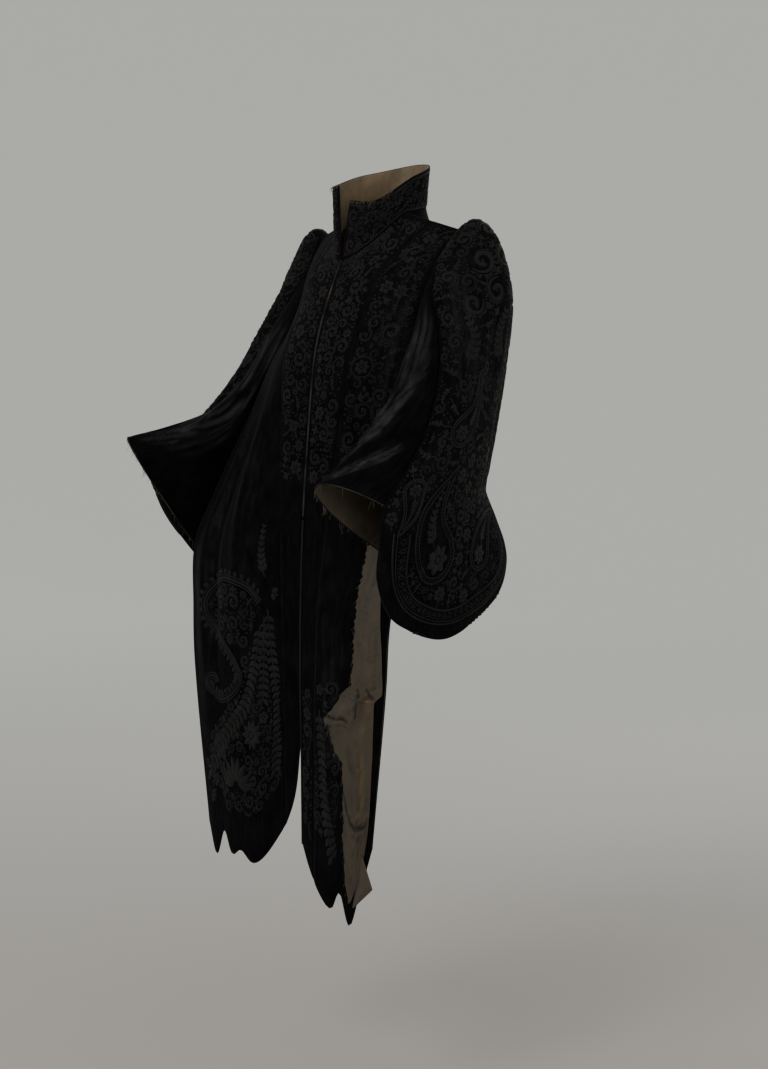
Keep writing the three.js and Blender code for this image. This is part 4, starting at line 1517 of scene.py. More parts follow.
    def fill(self, radii: tuple[float, ...], tries: int, cover: Cover) -> None:
        """Fills what is left with scrolls, flowers and leaves, each grown from its nearest neighbour.

        Args:
            radii: the sizes to try, from large to small.
            tries: how many places to try for each size.
            cover: says which spots may be filled, from their stations, shares and places.
        """
        low = np.array([self.cloth.across.min(), 0.0])
        high = np.array([self.cloth.across.max(), self.cloth.down.max()])
        for size in radii:
            many = int(tries * (1 + 9 / size))
            spots = low + (high - low) * self.dice.random((many, 2))
            r, c, off = self.cloth.seek(spots)
            room = np.where(off > 0, -off, self.cloth.read(self.cloth.room, r, c))
            at, share = (self.cloth.read(grid, r, c) for grid in (self.cloth.at, self.cloth.share))
            allowed = (room > size + self.margin) & cover(at, share, spots)
            held = np.full((len(self.discs) + int(allowed.sum()) + 1, 3), FAR_OFF)
            count = len(self.discs)
            if count:
                held[:count] = self.discs
            for spot in spots[allowed]:
                radius = size * float(self.dice.uniform(0.85, 1.12))
                near = held[: count + 1]
                gaps = np.sqrt(((near[:, :2] - spot) ** 2).sum(axis=1)) - near[:, 2] % FAR_OFF - radius
                if gaps.min() < 0.25:
                    continue
                self._grow(spot, radius, near, gaps)
                held[count] = (*spot, radius)
                count += 1

    def _grow(self, spot: Array, radius: float, near: Array, gaps: Array) -> None:
        """Draws one motif of the filling, with a stem from its nearest neighbour.

        Args:
            spot: its middle.
            radius: its radius.
            near: the places already taken.
            gaps: how far off each of those is.
        """
        nearest = near[int(gaps.argmin())]
        towards = math.atan2(nearest[1] - spot[1], nearest[0] - spot[0])
        hand = 1 if self.dice.random() < 0.5 else -1
        kind = float(self.dice.random())
        if radius >= 7 and kind < 0.62:
            self.spiral(spot, radius, towards, hand)
        elif radius >= 7 and kind < 0.82:
            self.flower(spot, radius * 0.95, int(self.dice.integers(5, 8)), towards)
        elif radius >= 7:
            root = spot + heading(towards) * radius * 0.9
            line = self.stem(root, spot - heading(towards) * radius * 0.9, hand * 0.25)
            self.frond(line, radius * 0.62, radius * 0.3, radius * 0.42)
        elif radius >= 4:
            for turn in (-0.8, 0.0, 0.8):
                root = spot + heading(towards) * radius * 0.8
                length = radius * (1.9 - abs(turn) * 0.4)
                self.rooted_leaf(root, towards + np.pi + turn, length, radius * 0.85)
        elif radius >= 2.6:
            self.leaf(spot, towards + hand, radius * 2.1, radius * 1.2)
        else:
            self.bead(spot, radius * 1.7)
        if gaps.min() < 16 and radius >= 4:
            rim = spot + heading(towards) * radius * 0.95
            target = nearest[:2] - heading(towards) * max(nearest[2] - 3, 0)
            self.stem(target, rim, hand * 0.22)
        self.keep(spot, radius)

    def made(self, shop: Workshop, node: str) -> list[Piece]:
        """Makes the pieces.

        Args:
            shop: the trees, shapes and finishes.
            node: the panel's own name, which starts the pieces' names.

        Returns:
            The pieces, each riding on the root.
        """
        pieces = [
            self._cords(shop, f"{node}_cording"),
            self._bands(shop, f"{node}_braid"),
            self._scattered(shop, self.leaves, Shape.LEAF, f"{node}_leaves"),
            self._scattered(shop, self.beads, Shape.BEAD, f"{node}_knots"),
        ]
        return [piece for piece in pieces if piece is not None]

    def _cords(self, shop: Workshop, name: str) -> Piece | None:
        """Makes the couched cords, cut where they would leave the cloth.

        Args:
            shop: the trees, shapes and finishes.
            name: the piece's name.

        Returns:
            The piece, or None when there are none.
        """
        lines = []
        for path, radius, lift in self.cords:
            line = resampled(path, 3.0)
            spots, normals, room = self.cloth.place(line)
            thick = radius * np.where(np.arange(len(line)) % 2, 0.88, 1.12)
            spots = spots + normals * (radius * lift)
            good = np.concatenate([[False], room > self.margin * 0.6, [False]])
            turns = np.nonzero(good[1:] != good[:-1])[0]
            lines += [(spots[a:b], thick[a:b]) for a, b in zip(turns[::2], turns[1::2]) if b - a > 1]
        return corded(shop, name, lines, shop.finishes.cord)

    def _bands(self, shop: Workshop, name: str) -> Piece | None:
        """Makes the domed bands.

        Args:
            shop: the trees, shapes and finishes.
            name: the piece's name.

        Returns:
            The piece, or None when there are none.
        """
        if not self.bands:
            return None
        across = np.array([-1.0, -0.58, 0.0, 0.58, 1.0])
        crown = np.array([-0.2, 0.95, 0.72, 0.95, -0.2])
        points, faces, total = [], [], 0
        for path, widths, height in self.bands:
            normal = path_normals(path)
            flat = path[:, None, :] + normal[:, None, :] * (widths[:, None] * across[None, :])[..., None]
            spots, normals, room = self.cloth.place(flat.reshape(-1, 2))
            rise = crown[None, :] * height * np.clip(widths / 1.2, 0.25, 1)[:, None]
            points.append(spots + normals * rise.reshape(-1)[:, None])
            fine = room.reshape(-1, 5).min(axis=1) > self.margin * 0.6
            for i in np.nonzero(fine[:-1] & fine[1:])[0]:
                a = total + i * 5
                faces.extend([a + k, a + k + 1, a + k + 6, a + k + 5] for k in range(4))
            total += len(path) * 5
        if not faces:
            return None
        order = np.array(faces)
        if self.cloth.facing < 0:
            order = order[:, ::-1]
        used = np.unique(order)
        renumber = np.full(total, -1)
        renumber[used] = np.arange(len(used))
        made = linked(name, mesh_of(name, np.concatenate(points)[used], renumber[order]))
        return fitted(made, "velvet", shop.finishes.braid)

    def _scattered(
        self, shop: Workshop, items: list[tuple[float, ...]], shape: Shape, name: str
    ) -> Piece | None:
        """Makes the leaves or the knots.

        Args:
            shop: the trees, shapes and finishes.
            items: place across and down, heading, length, width and height of each.
            shape: which small shape it is.
            name: the piece's name.

        Returns:
            The piece, or None when there are none.
        """
        if not items:
            return None
        data = np.array(items)
        centre, normals, room = self.cloth.place(data[:, :2])
        ahead = self.cloth.place(data[:, :2] + heading(data[:, 2]) * 1.5)[0]
        good = room > self.margin * 0.7 + data[:, 3] * 0.35
        along = unit(ahead - centre)
        across = unit(np.cross(normals, along))
        along = np.cross(across, normals)
        turn = np.stack([
            np.arctan2(across[:, 2], normals[:, 2]),
            -np.arcsin(np.clip(along[:, 2], -1, 1)),
            np.arctan2(along[:, 1], along[:, 0]),
        ], -1)[good]
        if not good.any():
            return None
        mesh = bpy.data.meshes.new(name)
        mesh.from_pydata((centre[good] * MM).tolist(), [], [])
        noted(mesh, "turn", turn)
        noted(mesh, "size", data[good][:, 3:6] * MM)
        source = linked(f"{name} places", mesh)
        run_tree(source, shop.scatter, {"Shape": shop.shapes[shape], "Finish": shop.finishes.braid})
        return fitted(settled(source, name), "velvet")


def cut_size(cloth: Spread) -> tuple[tuple[float, float], float]:
    """Measures the cloth that a spread was cut from.

    Args:
        cloth: the spread.

    Returns:
        Its longest row and longest column in metres, and its area in square metres.
    """
    width, length = (float(lengths(cloth.points, axis).sum(axis=axis).max()) * MM for axis in (1, 0))
    a, b = np.diff(cloth.points[:-1], axis=1), np.diff(cloth.points[:, :-1], axis=0)
    area = float(np.linalg.norm(np.cross(a, b), axis=2).sum()) * MM * MM
    area = min(max(area, LEAST_FILL * width * length), width * length)
    flat = (round(width, 4), round(length, 4))
    return flat, min(area, flat[0] * flat[1])


@dataclass
class Panel:
    """A cut piece of the garment: a thin shell with a pile side and a lining side.

    Its stations run from first to last, facing tells its outward side, middle is the share across of its
    middle line, and seams gives the stations down to which its two sides are sewn. Creases fade out within
    calm of a sewn side, and a groove runs along it, which fades where the armhole turns.
    """

    node: str
    sign: int = 1
    facing: int = 1
    first: float = 0.0
    last: float = JOIN_END
    middle: float = 0.5
    cell: float = 5.0
    wall: float = 1.9
    seams: tuple[float, float] = (JOIN_END, JOIN_END)
    dense: tuple[int, int] = (260, 150)
    # How strongly the creases get the velvet's painted sheen highlight.
    crease_highlight: float = 0.28
    calm: float = 22.0
    calm_top: float = 16.0
    groove: float = 0.9
    groove_width: float = 3.2
    armhole_turn: float = 1.7
    worn: float = 0.34

    def surface(self, at: Array, share: Array) -> Array:
        """Points of the piece's outer face, on the wearer's left."""
        raise NotImplementedError

    def creases(self) -> tuple[Crease, ...]:
        """The creases laid on the piece."""
        return ()

    def wear(self, cloth: Spread) -> Array:
        """How worn the pile is, from 0 to 1, at each point."""
        return self.worn * (1 - np.clip((-cloth.points[..., 2] - 60) / 260, 0, 1))

    def sampled(self) -> Array:
        """A dense grid of x, y, z, station, share and room to the hem.

        Returns:
            The grid.
        """
        at = np.linspace(self.first, self.last, self.dense[0])
        share = np.linspace(0, 1, self.dense[1])
        at, share = np.meshgrid(at, share, indexing="ij")
        points = self.surface(at, share)
        fall = np.cumsum(lengths(points, 0)[::-1], axis=0)[::-1]
        fall = np.concatenate([fall, np.zeros((1, at.shape[1]))])
        points[..., 0] *= self.sign
        return np.dstack([points, at, share, fall])

    def laid(self) -> Spread:
        """The piece's cloth, with its creases and the groove along its seams.

        Returns:
            The cloth.
        """
        dense = self.sampled()
        width = np.percentile(lengths(dense[..., :3], 1).sum(axis=1), 85)
        height = lengths(dense[..., :3], 0).sum(axis=0).mean()
        counts = (int(height / self.cell) + 2, int(width / self.cell) + 2)
        cloth = Spread.of(dense, counts, self.facing * self.sign, self.middle)
        cloth.lifted(self.relief(cloth))
        # The creases' painted sheen and shade fade out near the edges.
        cloth.crush *= np.clip((cloth.room - 3) / 9, 0, 1)
        return cloth

    def relief(self, cloth: Spread) -> Array:
        """How far the creases and seams lift the cloth at each point.

        Args:
            cloth: the cloth.

        Returns:
            Millimetres along the normals.
        """
        lift = np.zeros_like(cloth.at)
        for crease in self.creases():
            lift += crease.lift(cloth.at, cloth.share, cloth.girth)
        places = np.linspace(0, 1, cloth.at.shape[1])[None, :]
        groove = self.groove * np.clip(np.abs(cloth.at - self.armhole_turn) / 1.3, 0, 1)
        for where, end in ((places, self.seams[0]), (1 - places, self.seams[1])):
            gap = where * cloth.girth
            held = cloth.at <= end
            lift = np.where(held, lift * np.clip(gap / self.calm, 0, 1), lift)
            lift -= np.where(held, groove * np.exp(-((gap / self.groove_width) ** 2)), 0)
        return lift * np.clip(cloth.down / self.calm_top, 0, 1)

    @cached_property
    def cloth(self) -> Spread:
        """The piece's cloth, laid once."""
        return self.laid()

    def built(self, shop: Workshop, lining: Material) -> Piece:
        """Builds the shell, and hides the solid that it stands for.

        Args:
            shop: the finishes.
            lining: the material of its inner face.

        Returns:
            The piece.
        """
        # Scales the painted sheen highlight on the creases.
        self.cloth.crush *= self.crease_highlight
        made = shell(f"{self.node}_velvet", self.cloth, self.wall, self.wear(self.cloth))
        fitted(made, "velvet", shop.finishes.velvet, lining)
        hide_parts(self.node)
        return made

    def declared(self, made: Piece, trims: list[Piece]) -> None:
        """Args:
            made: the piece.
            trims: what is sewn on it.
        """
        flat, area = cut_size(self.cloth)
        log.info("%s: cut %.3f by %.3f m, %.3f m2, %d trims", made.name, *flat, area, len(trims))


def shell(name: str, cloth: Spread, wall: float, wear: Array) -> Piece:
    """Makes a closed shell: the outer face, the lining face and a rounded rim between them.

    Args:
        name: the piece's name.
        cloth: its outer face.
        wall: its thickness.
        wear: how worn the pile is at each point.

    Returns:
        The object, with material slot 0 for the pile and 1 for the lining.
    """
    rows, columns = cloth.at.shape
    outer = cloth.points
    inner = outer - cloth.normals * wall
    index = np.arange(rows * columns).reshape(rows, columns)
    loop = np.concatenate([index[0, :-1], index[:-1, -1], index[-1, :0:-1], index[:0:-1, 0]])
    inward = np.pad(outer, ((1, 1), (1, 1), (0, 0)), mode="edge")
    middle = (inward[:-2, 1:-1] + inward[2:, 1:-1] + inward[1:-1, :-2] + inward[1:-1, 2:]) / 4
    away = unit(outer - middle).reshape(-1, 3)[loop]
    flat_normals = cloth.normals.reshape(-1, 3)[loop]
    away = unit(away - flat_normals * (away * flat_normals).sum(axis=1, keepdims=True))
    rim = (outer.reshape(-1, 3)[loop] + inner.reshape(-1, 3)[loop]) / 2 + away * wall * 0.6
    a, b, c, d = index[:-1, :-1], index[:-1, 1:], index[1:, 1:], index[1:, :-1]
    front = np.stack([a, b, c, d], -1).reshape(-1, 4)
    behind = front[:, ::-1] + rows * columns
    mid = 2 * rows * columns + np.arange(len(loop))
    ahead, mid_ahead = np.roll(loop, -1), np.roll(mid, -1)
    half_out = np.stack([loop, mid, mid_ahead, ahead], -1)
    half_in = np.stack([mid, loop + rows * columns, ahead + rows * columns, mid_ahead], -1)
    faces = np.concatenate([front, half_out, half_in, behind])
    if cloth.facing < 0:
        faces = faces[:, ::-1]
    points = np.concatenate([outer.reshape(-1, 3), inner.reshape(-1, 3), rim])
    mesh = mesh_of(name, points, faces)
    lining = np.zeros(len(faces), np.int32)
    lining[-len(behind):] = 1
    mesh.polygons.foreach_set("material_index", lining)
    flat = np.stack([cloth.across, cloth.down], -1).reshape(-1, 2)
    flat = np.concatenate([flat, flat, flat[loop]]) * MM
    mesh.uv_layers.new(name="cloth").data.foreach_set("uv", flat[faces.ravel()].astype(np.float32).ravel())
    # Wear, and the creases' painted sheen and shade, go on the outer face only.
    for key, values in (("wear", wear.ravel()), ("crush", cloth.crush.ravel())):
        noted(mesh, key, np.concatenate([values, values * 0, values[loop] * 0]))
    return linked(name, mesh)


@dataclass
class Front(Panel):
    """A front: the narrow one beside the centre front edge, or the wide one out to the side edge."""

    side: Side = LEFT
    wide: bool = False

    def surface(self, at: Array, share: Array) -> Array:
        """Points of this front.

        Args:
            at: the station of each point.
            share: the share across of each point.

        Returns:
            The points.
        """
        steps = 6 + share * 8 if self.wide else share * 6

        def below(stations: Array) -> Array:
            """The surface from station 1 down."""
            seam = self.side.seam_share(stations)
            return self.side.front(stations, seam + (1 - seam) * share if self.wide else seam * share)

        points = from_shoulder(NECK.start(steps, False), below, at)
        if self.wide:
            edge = self.side.front_edge.smooth(np.minimum(at, 1.0))
            blend = (share**6 * (at < 1))[..., None]
            points = points * (1 - blend) + edge * blend
        return points

    def creases(self) -> tuple[Crease, ...]:
        """The long creases of the wide front."""
        return self.side.front_creases if self.wide else ()


@dataclass
class Back(Panel):
    """Half of the back, from the centre back seam to the side edge, with its flared skirt and soft folds."""

    soft_folds: tuple[Crease, ...] = (
        Crease(1.4, 5.2, 0.66, 0.5, 14, -2.4), Crease(4.6, 8.4, 0.34, 0.4, 12, -2.2),
        Crease(7.2, 12.5, 0.28, 0.24, 13, 5.0), Crease(7.6, 12.5, 0.62, 0.6, 14, 5.5),
        Crease(2.4, 6.2, 0.84, 0.72, 12, 2.2),
    )

    def surface(self, at: Array, share: Array) -> Array:
        """Points of this back.

        Args:
            at: the station of each point.
            share: the share across of each point.

        Returns:
            The points.
        """

        def below(stations: Array) -> Array:
            """The surface from station 1 down.

            Args:
                stations: the station of each point.

            Returns:
                The points.
            """
            centre = CENTRE_BACK.smooth(stations)
            spot = centre + (BACK_EDGE.smooth(stations) - centre) * share[..., None]
            spot[..., 1] += BACK_BOW.smooth(stations) * np.sin(np.pi * share)
            return spot

        points = from_shoulder(NECK.start(share * 14, True), below, at)
        blend = (share**6 * (at < 1))[..., None]
        return points * (1 - blend) + BACK_EDGE.smooth(np.minimum(at, 1.0)) * blend

    def creases(self) -> tuple[Crease, ...]:
        """Soft upright folds, deeper in the flared skirt."""
        return self.soft_folds


def rounded_row(
    start: Array, through: Array, end: Array, power: Array, share: Array
) -> Array:
    """Points on a rounded row of cloth from one edge, out through a far point, to another edge.

    Args:
        start: the first edge.
        through: the far point.
        end: the other edge.
        power: how squarely the row bulges; less is squarer.
        share: the shares across.

    Returns:
        The points.
    """
    angle = np.pi * share
    reach = through - (start + end) / 2
    swell = np.sin(np.clip(angle, 0, np.pi)) ** power
    swell = np.where((share <= 0) | (share >= 1), 0.0, swell)
    along = ((1 - np.cos(angle)) / 2)[..., None]
    return start + (end - start) * along + reach * swell[..., None]


@dataclass
class OuterSleeve(Panel):
    """The trimmed outer sleeve: its raised head, its arm, and the round lobe that hangs from it."""

    side: Side = LEFT
    rounding: float = 0.13

    def surface(self, at: Array, share: Array) -> Array:
        """Points of the outer sleeve, from the back edge round to the piecing.

        Args:
            at: the station of each point.
            share: the share across of each point.

        Returns:
            The points.
        """
        rounding = 1 - self.rounding * (2 * share - 1) ** 2
        at = np.where(at > BACK_END, BACK_END + (at - BACK_END) * rounding, at)
        low = (at <= JOIN_END)[..., None]
        back = np.where(low, BACK_EDGE.smooth(np.minimum(at, JOIN_END)), self.side.lobe_back.smooth(at))
        front = np.where(
            (at < 1)[..., None], self.side.front_edge.smooth(np.minimum(at, 1)), self.side.piecing.smooth(at)
        )
        return rounded_row(back, self.side.outer.smooth(at), front, self.side.squareness.smooth(at), share)

    def creases(self) -> tuple[Crease, ...]:
        """Long soft folds down the arm."""
        return self.side.outer_creases


@dataclass
class InnerSleeve(Panel):
    """The plain inner sleeve, from the piecing over the front fold of the arm to the front's side edge."""

    side: Side = LEFT

    def surface(self, at: Array, share: Array) -> Array:
        """Points of the inner sleeve.

        Args:
            at: the station of each point.
            share: the share across of each point.

        Returns:
            The points.
        """
        tables = (self.side.piecing, self.side.fold, self.side.front_edge)
        start, through, end = (table.smooth(at) for table in tables)
        outward = unit(through - (start + end) / 2)
        points = rounded_row(start, through, end, np.full_like(at, self.side.inner_power), share)
        for fold in self.side.sleeve_folds:
            points = points + outward * fold.lift(at, share)[..., None]
        return points

    def creases(self) -> tuple[Crease, ...]:
        """Sharp slanting creases from the armpit to the wrist."""
        return self.side.sleeve_creases

    def laid(self) -> Spread:
        """The piece's cloth, facing one way all across its narrow tip.

        Returns:
            The cloth.
        """
        cloth = super().laid()
        mean = unit(cloth.normals.mean(axis=1, keepdims=True))
        mean[:2] = mean[2]
        broad = np.clip((cloth.girth - 12) / 30, 0, 1)[..., None]
        cloth.normals = unit(mean * (1 - broad) + cloth.normals * broad)
        return cloth


@dataclass
class Collar(Panel):
    """The high stand collar, from the left front corner round the nape to the right one."""

    half_width: float = 61.0
    half_depth: float = 84.0
    centre_y: float = -9.0
    front_spread: float = 13.0

    def surface(self, at: Array, share: Array) -> Array:
        """Points of the collar: at is 0 at the neckline and 1 at the top edge.

        Args:
            at: the station of each point.
            share: the share across of each point.

        Returns:
            The points.
        """
        quarter = np.where(share <= 0.5, share * 4, (1 - share) * 4)
        base = NECK.neck(quarter)
        base[..., 0] *= np.where(share > 0.5, -1, 1)
        angle = 2 * np.pi * share
        spread = np.abs(np.cos(angle / 2)) ** 6 * self.front_spread * np.where(share < 0.5, 1, -1)
        x = self.half_width * np.sin(angle) + spread
        y = self.centre_y - self.half_depth * np.cos(angle)
        top = np.stack([x, y, COLLAR_TOP.smooth(share)], -1)
        return base + (top - base) * at[..., None]

    def relief(self, cloth: Spread) -> Array:
        """Soft buckles in the collar, most near its top edge."""
        wave = np.sin(cloth.share * 41) * 0.8 + np.sin(cloth.share * 23 + 1.2) * 1.1
        return wave * cloth.at * np.clip(cloth.room / 14, 0, 1)


@dataclass(frozen=True)
class Tuck:
    """A crisp crease pressed into the lining: a line of painted shade between two low ridges.

    Its ends are millimetres from the centre front edge and down from the lining's top.
    """

    start: tuple[float, float]
    end: tuple[float, float]
    width: float = 5.0
    depth: float = 2.2
    shade: float = 2.6

    def pressed(self, across: Array, down: Array) -> tuple[Array, Array]:
        """Works the crease out at each point.

        Args:
            across: millimetres from the centre front edge.
            down: millimetres from the lining's top.

        Returns:
            How far the crease lifts the cloth there, and how much painted shade it gets there, from 0 to 1.
        """
        run = np.subtract(self.end, self.start)
        off = np.stack([across - self.start[0], down - self.start[1]], -1)
        along = np.clip((off * run).sum(-1) / (run @ run), 0, 1)
        away = np.linalg.norm(off - along[..., None] * run, axis=-1)
        ridge = np.exp(-(((away - self.width) / (0.6 * self.width)) ** 2))
        fading = np.sin(np.pi * (0.1 + 0.8 * along))
        return self.depth * ridge * fading, np.exp(-((away / self.shade) ** 2))


@dataclass
class LooseLining:
    """The lining that has come loose and lies over the left front's side edge, crumpled and frayed.

    A stain is its place across and down and its half width and height. A fold is where it starts and ends
    down the lining, its place across, how far it slants, its width and its depth.
    """

    node: str = "loose_lining_left"
    lift: float = 2.3
    wall: float = 0.9
    cell: float = 2.0
    crumple: float = 2.6
    columns: int = 46
    front_width: float = 180.0
    tucks: tuple[Tuck, ...] = (
        Tuck((66, 291), (116, 298), 7, 3.4, 3.2), Tuck((138, 248), (132, 286), 5, 2.6, 3),
        Tuck((135, 236), (142, 250), 4, 2, 3), Tuck((152, 231), (162, 254), 4, 2.4, 3),
        Tuck((112, 426), (126, 447), 5, 2.6, 2.8), Tuck((126, 447), (142, 469), 7, 3.4, 3.6),
        Tuck((142, 469), (160, 500), 6, 2.6, 3.2),
    )
    stains: tuple[tuple[float, float, float, float], ...] = (
        (155, 262, 5, 17), (146, 308, 6, 8), (146, 372, 3.5, 15), (148, 405, 4, 18), (150, 442, 4, 14),
    )
    folds: tuple[tuple[float, ...], ...] = (
        (0, 150, 4, -14, 9, 1.0), (60, 260, -12, 18, 8, 0.9), (120, 300, 14, -6, 8, 1.1),
        (200, 330, -30, 44, 12, 1.3), (235, 300, 20, -40, 10, 1.1), (270, 430, -18, 6, 10, 1.2),
        (300, 470, 12, -14, 8, 0.9), (390, 520, 0, 8, 9, 1.1), (245, 265, -40, 80, 14, 0.9),
    )

    def edges(self, at: Array) -> tuple[Array, Array]:
        """The front's shares across between which the lining lies, at each station."""
        return LOOSE_EDGES.column(at, 0), LOOSE_EDGES.column(at, 1)

    @cached_property
    def cloth(self) -> Spread:
        """The lining's outer face.

        Returns:
            The cloth.
        """
        ends = LOOSE_EDGES.places[[0, -1]]
        at, part = np.meshgrid(np.linspace(*ends, 200), np.linspace(0, 1, 40), indexing="ij")
        inner, outer = self.edges(at)
        ragged = 0.006 * np.sin(at * 23) + 0.006 * np.sin(at * 61 + 1)
        points = LEFT.front(at, inner + ragged * (1 - part) + (outer - inner) * part)
        rows = int(lengths(points, 0).sum(axis=0).mean() / self.cell)
        dense = np.dstack([points, at, part, np.full(at.shape, NO_EDGE)])
        cloth = Spread.of(dense, (rows, self.columns), -1, 0.5)
        u, v = cloth.across, cloth.down
        height = 0.4 * (0.5 + 0.5 * np.sin(v / 15 + u / 8) * np.cos(u / 11 - v / 37))
        for start, end, side, slant, width, deep in self.folds:
            along = np.clip((v - start) / (end - start), 0, 1)
            off = (u - side - slant * along) / width
            height += deep * np.sin(np.pi * along) ** 0.7 * np.maximum(1 - np.abs(off), 0) ** 0.8
        pressed = [tuck.pressed(self.from_centre(cloth), v) for tuck in self.tucks]
        cloth.lifted(self.lift + self.crumple * height + sum(ridge for ridge, _ in pressed))
        # The tucks' lines get painted shade; the crumples' own painted shade is weakened.
        cloth.crush = np.maximum.reduce([cloth.crush * 0.4, *(tuck_shade for _, tuck_shade in pressed)])
        return cloth

    def from_centre(self, cloth: Spread) -> Array:
        """Millimetres of each point from the centre front edge."""
        inner, outer = self.edges(cloth.at)
        return (inner + (outer - inner) * cloth.share) * self.front_width

    def stained(self, cloth: Spread) -> Array:
        """How stained each point is, from 0 to 1.

        Args:
            cloth: the cloth.

        Returns:
            The stain.
        """
        u, v = self.from_centre(cloth), cloth.down
        spots = [np.exp(-(((u - x) / half) ** 2) - ((v - y) / tall) ** 2) for x, y, half, tall in self.stains]
        return np.maximum.reduce(spots)

    def corner(self) -> Spread:
        """The turned corner at the lining's foot, which stands out past the front's side edge.

        Returns:
            The cloth.
        """
        top = LEFT.front(np.array([11.66]), np.array([0.88]))[0] + [0, -5, 0]
        foot = LEFT.front(np.array([11.96]), np.array([0.79]))[0] + [0, -5, 0]
        tip = top + [39, -12, -47]
        fall, part = np.meshgrid(np.linspace(0.03, 0.97, 60), np.linspace(0, 1, 30), indexing="ij")
        down, over = fall[..., None], part[..., None]
        near = top + (foot - top) * down
        far = np.where(down < 0.5, top + (tip - top) * 2 * down, tip + (foot - tip) * (2 * down - 1))
        points = near + (far - near) * over
        points[..., 1] -= 4 * np.sin(np.pi * part) * np.sin(np.pi * fall)
        cloth = Spread.of(np.dstack([points, fall, part, np.full(fall.shape, NO_EDGE)]), (34, 18), -1, 0.5)
        # A band of painted shadow along the corner's inner side, where it lies over the lining.
        cloth.crush = np.clip(1.2 - 2.6 * cloth.share, 0, 1)
        return cloth

    def built(self, shop: Workshop) -> Piece:
        """Args:
            shop: the finishes.

        Returns:
            The lining.
        """
        corner, finish = self.corner(), shop.finishes.lining
        made = shell(f"{self.node}_taffeta", self.cloth, self.wall, self.stained(self.cloth))
        turned = shell(f"{self.node}_corner", corner, self.wall, np.zeros_like(corner.at))
        for piece in (turned, made):
            fitted(piece, "lining", finish, finish)
        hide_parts(self.node)
        flat, area = cut_size(self.cloth)
        log.info("%s: cut %.3f by %.3f m, %.3f m2", made.name, *flat, area)
        return made


def everywhere(at: Array, share: Array, spots: Array) -> Array:
    """Covers the whole of a panel."""
    return at > -1


class Lobe:
    """The free edge of a sleeve's lobe, and lines that run along it."""

    def __init__(self, cloth: Spread, middle: tuple[float, float] = (8.0, 535.0)) -> None:
        """Measures how far each point is from the free edge.

        Args:
            cloth: the sleeve's cloth.
            middle: a place on the pattern that the whole edge can be seen from.
        """
        free = cloth.at[:, 0] >= JOIN_END
        edge = np.concatenate([cloth.points[free, 0], cloth.points[free, -1], cloth.points[-1]])
        flat = cloth.points.reshape(-1, 1, 3)
        self.away = np.sqrt(((flat - edge[None]) ** 2).sum(axis=2)).min(axis=1).reshape(cloth.at.shape)
        self.cloth = cloth
        self.middle = np.array(middle)

    def line(self, inset: float) -> Array:
        """A smooth line at one distance from the free edge, from the front round to the back.

        Args:
            inset: the distance.

        Returns:
            The line.
        """
        turns = np.linspace(-0.12, np.pi + 0.12, 150)
        reach = np.arange(10.0, 300.0, 1.5)
        spots = self.middle + heading(turns)[:, None, :] * reach[None, :, None]
        r, c, off = self.cloth.seek(spots.reshape(-1, 2))
        away = np.where(off > 0, -1, self.cloth.read(self.away, r, c)).reshape(len(turns), len(reach))
        last = (away >= inset).cumprod(axis=1).sum(axis=1)
        path = self.middle + heading(turns) * reach[np.maximum(last - 1, 0)][:, None]
        for _ in range(5):
            padded = np.pad(path, ((4, 4), (0, 0)), mode="reflect", reflect_type="odd")
            path = np.stack([np.convolve(padded[:, k], np.ones(9) / 9, mode="valid") for k in range(2)], -1)
        return resampled(path, 3.6)


def inside(spots: Array, corners: list[tuple[float, float]]) -> Array:
    """Says which spots are inside a polygon.

    Args:
        spots: the spots.
        corners: the polygon's corners.

    Returns:
        True for each spot that is inside.
    """
    found = np.zeros(len(spots), bool)
    x, y = spots[:, 0], spots[:, 1]
    for (x0, y0), (x1, y1) in zip(corners, corners[1:] + corners[:1]):
        crosses = (y0 > y) != (y1 > y)
        found ^= crosses & (x < (x1 - x0) * (y - y0) / (y1 - y0 if y1 != y0 else 1.0) + x0)
    return found


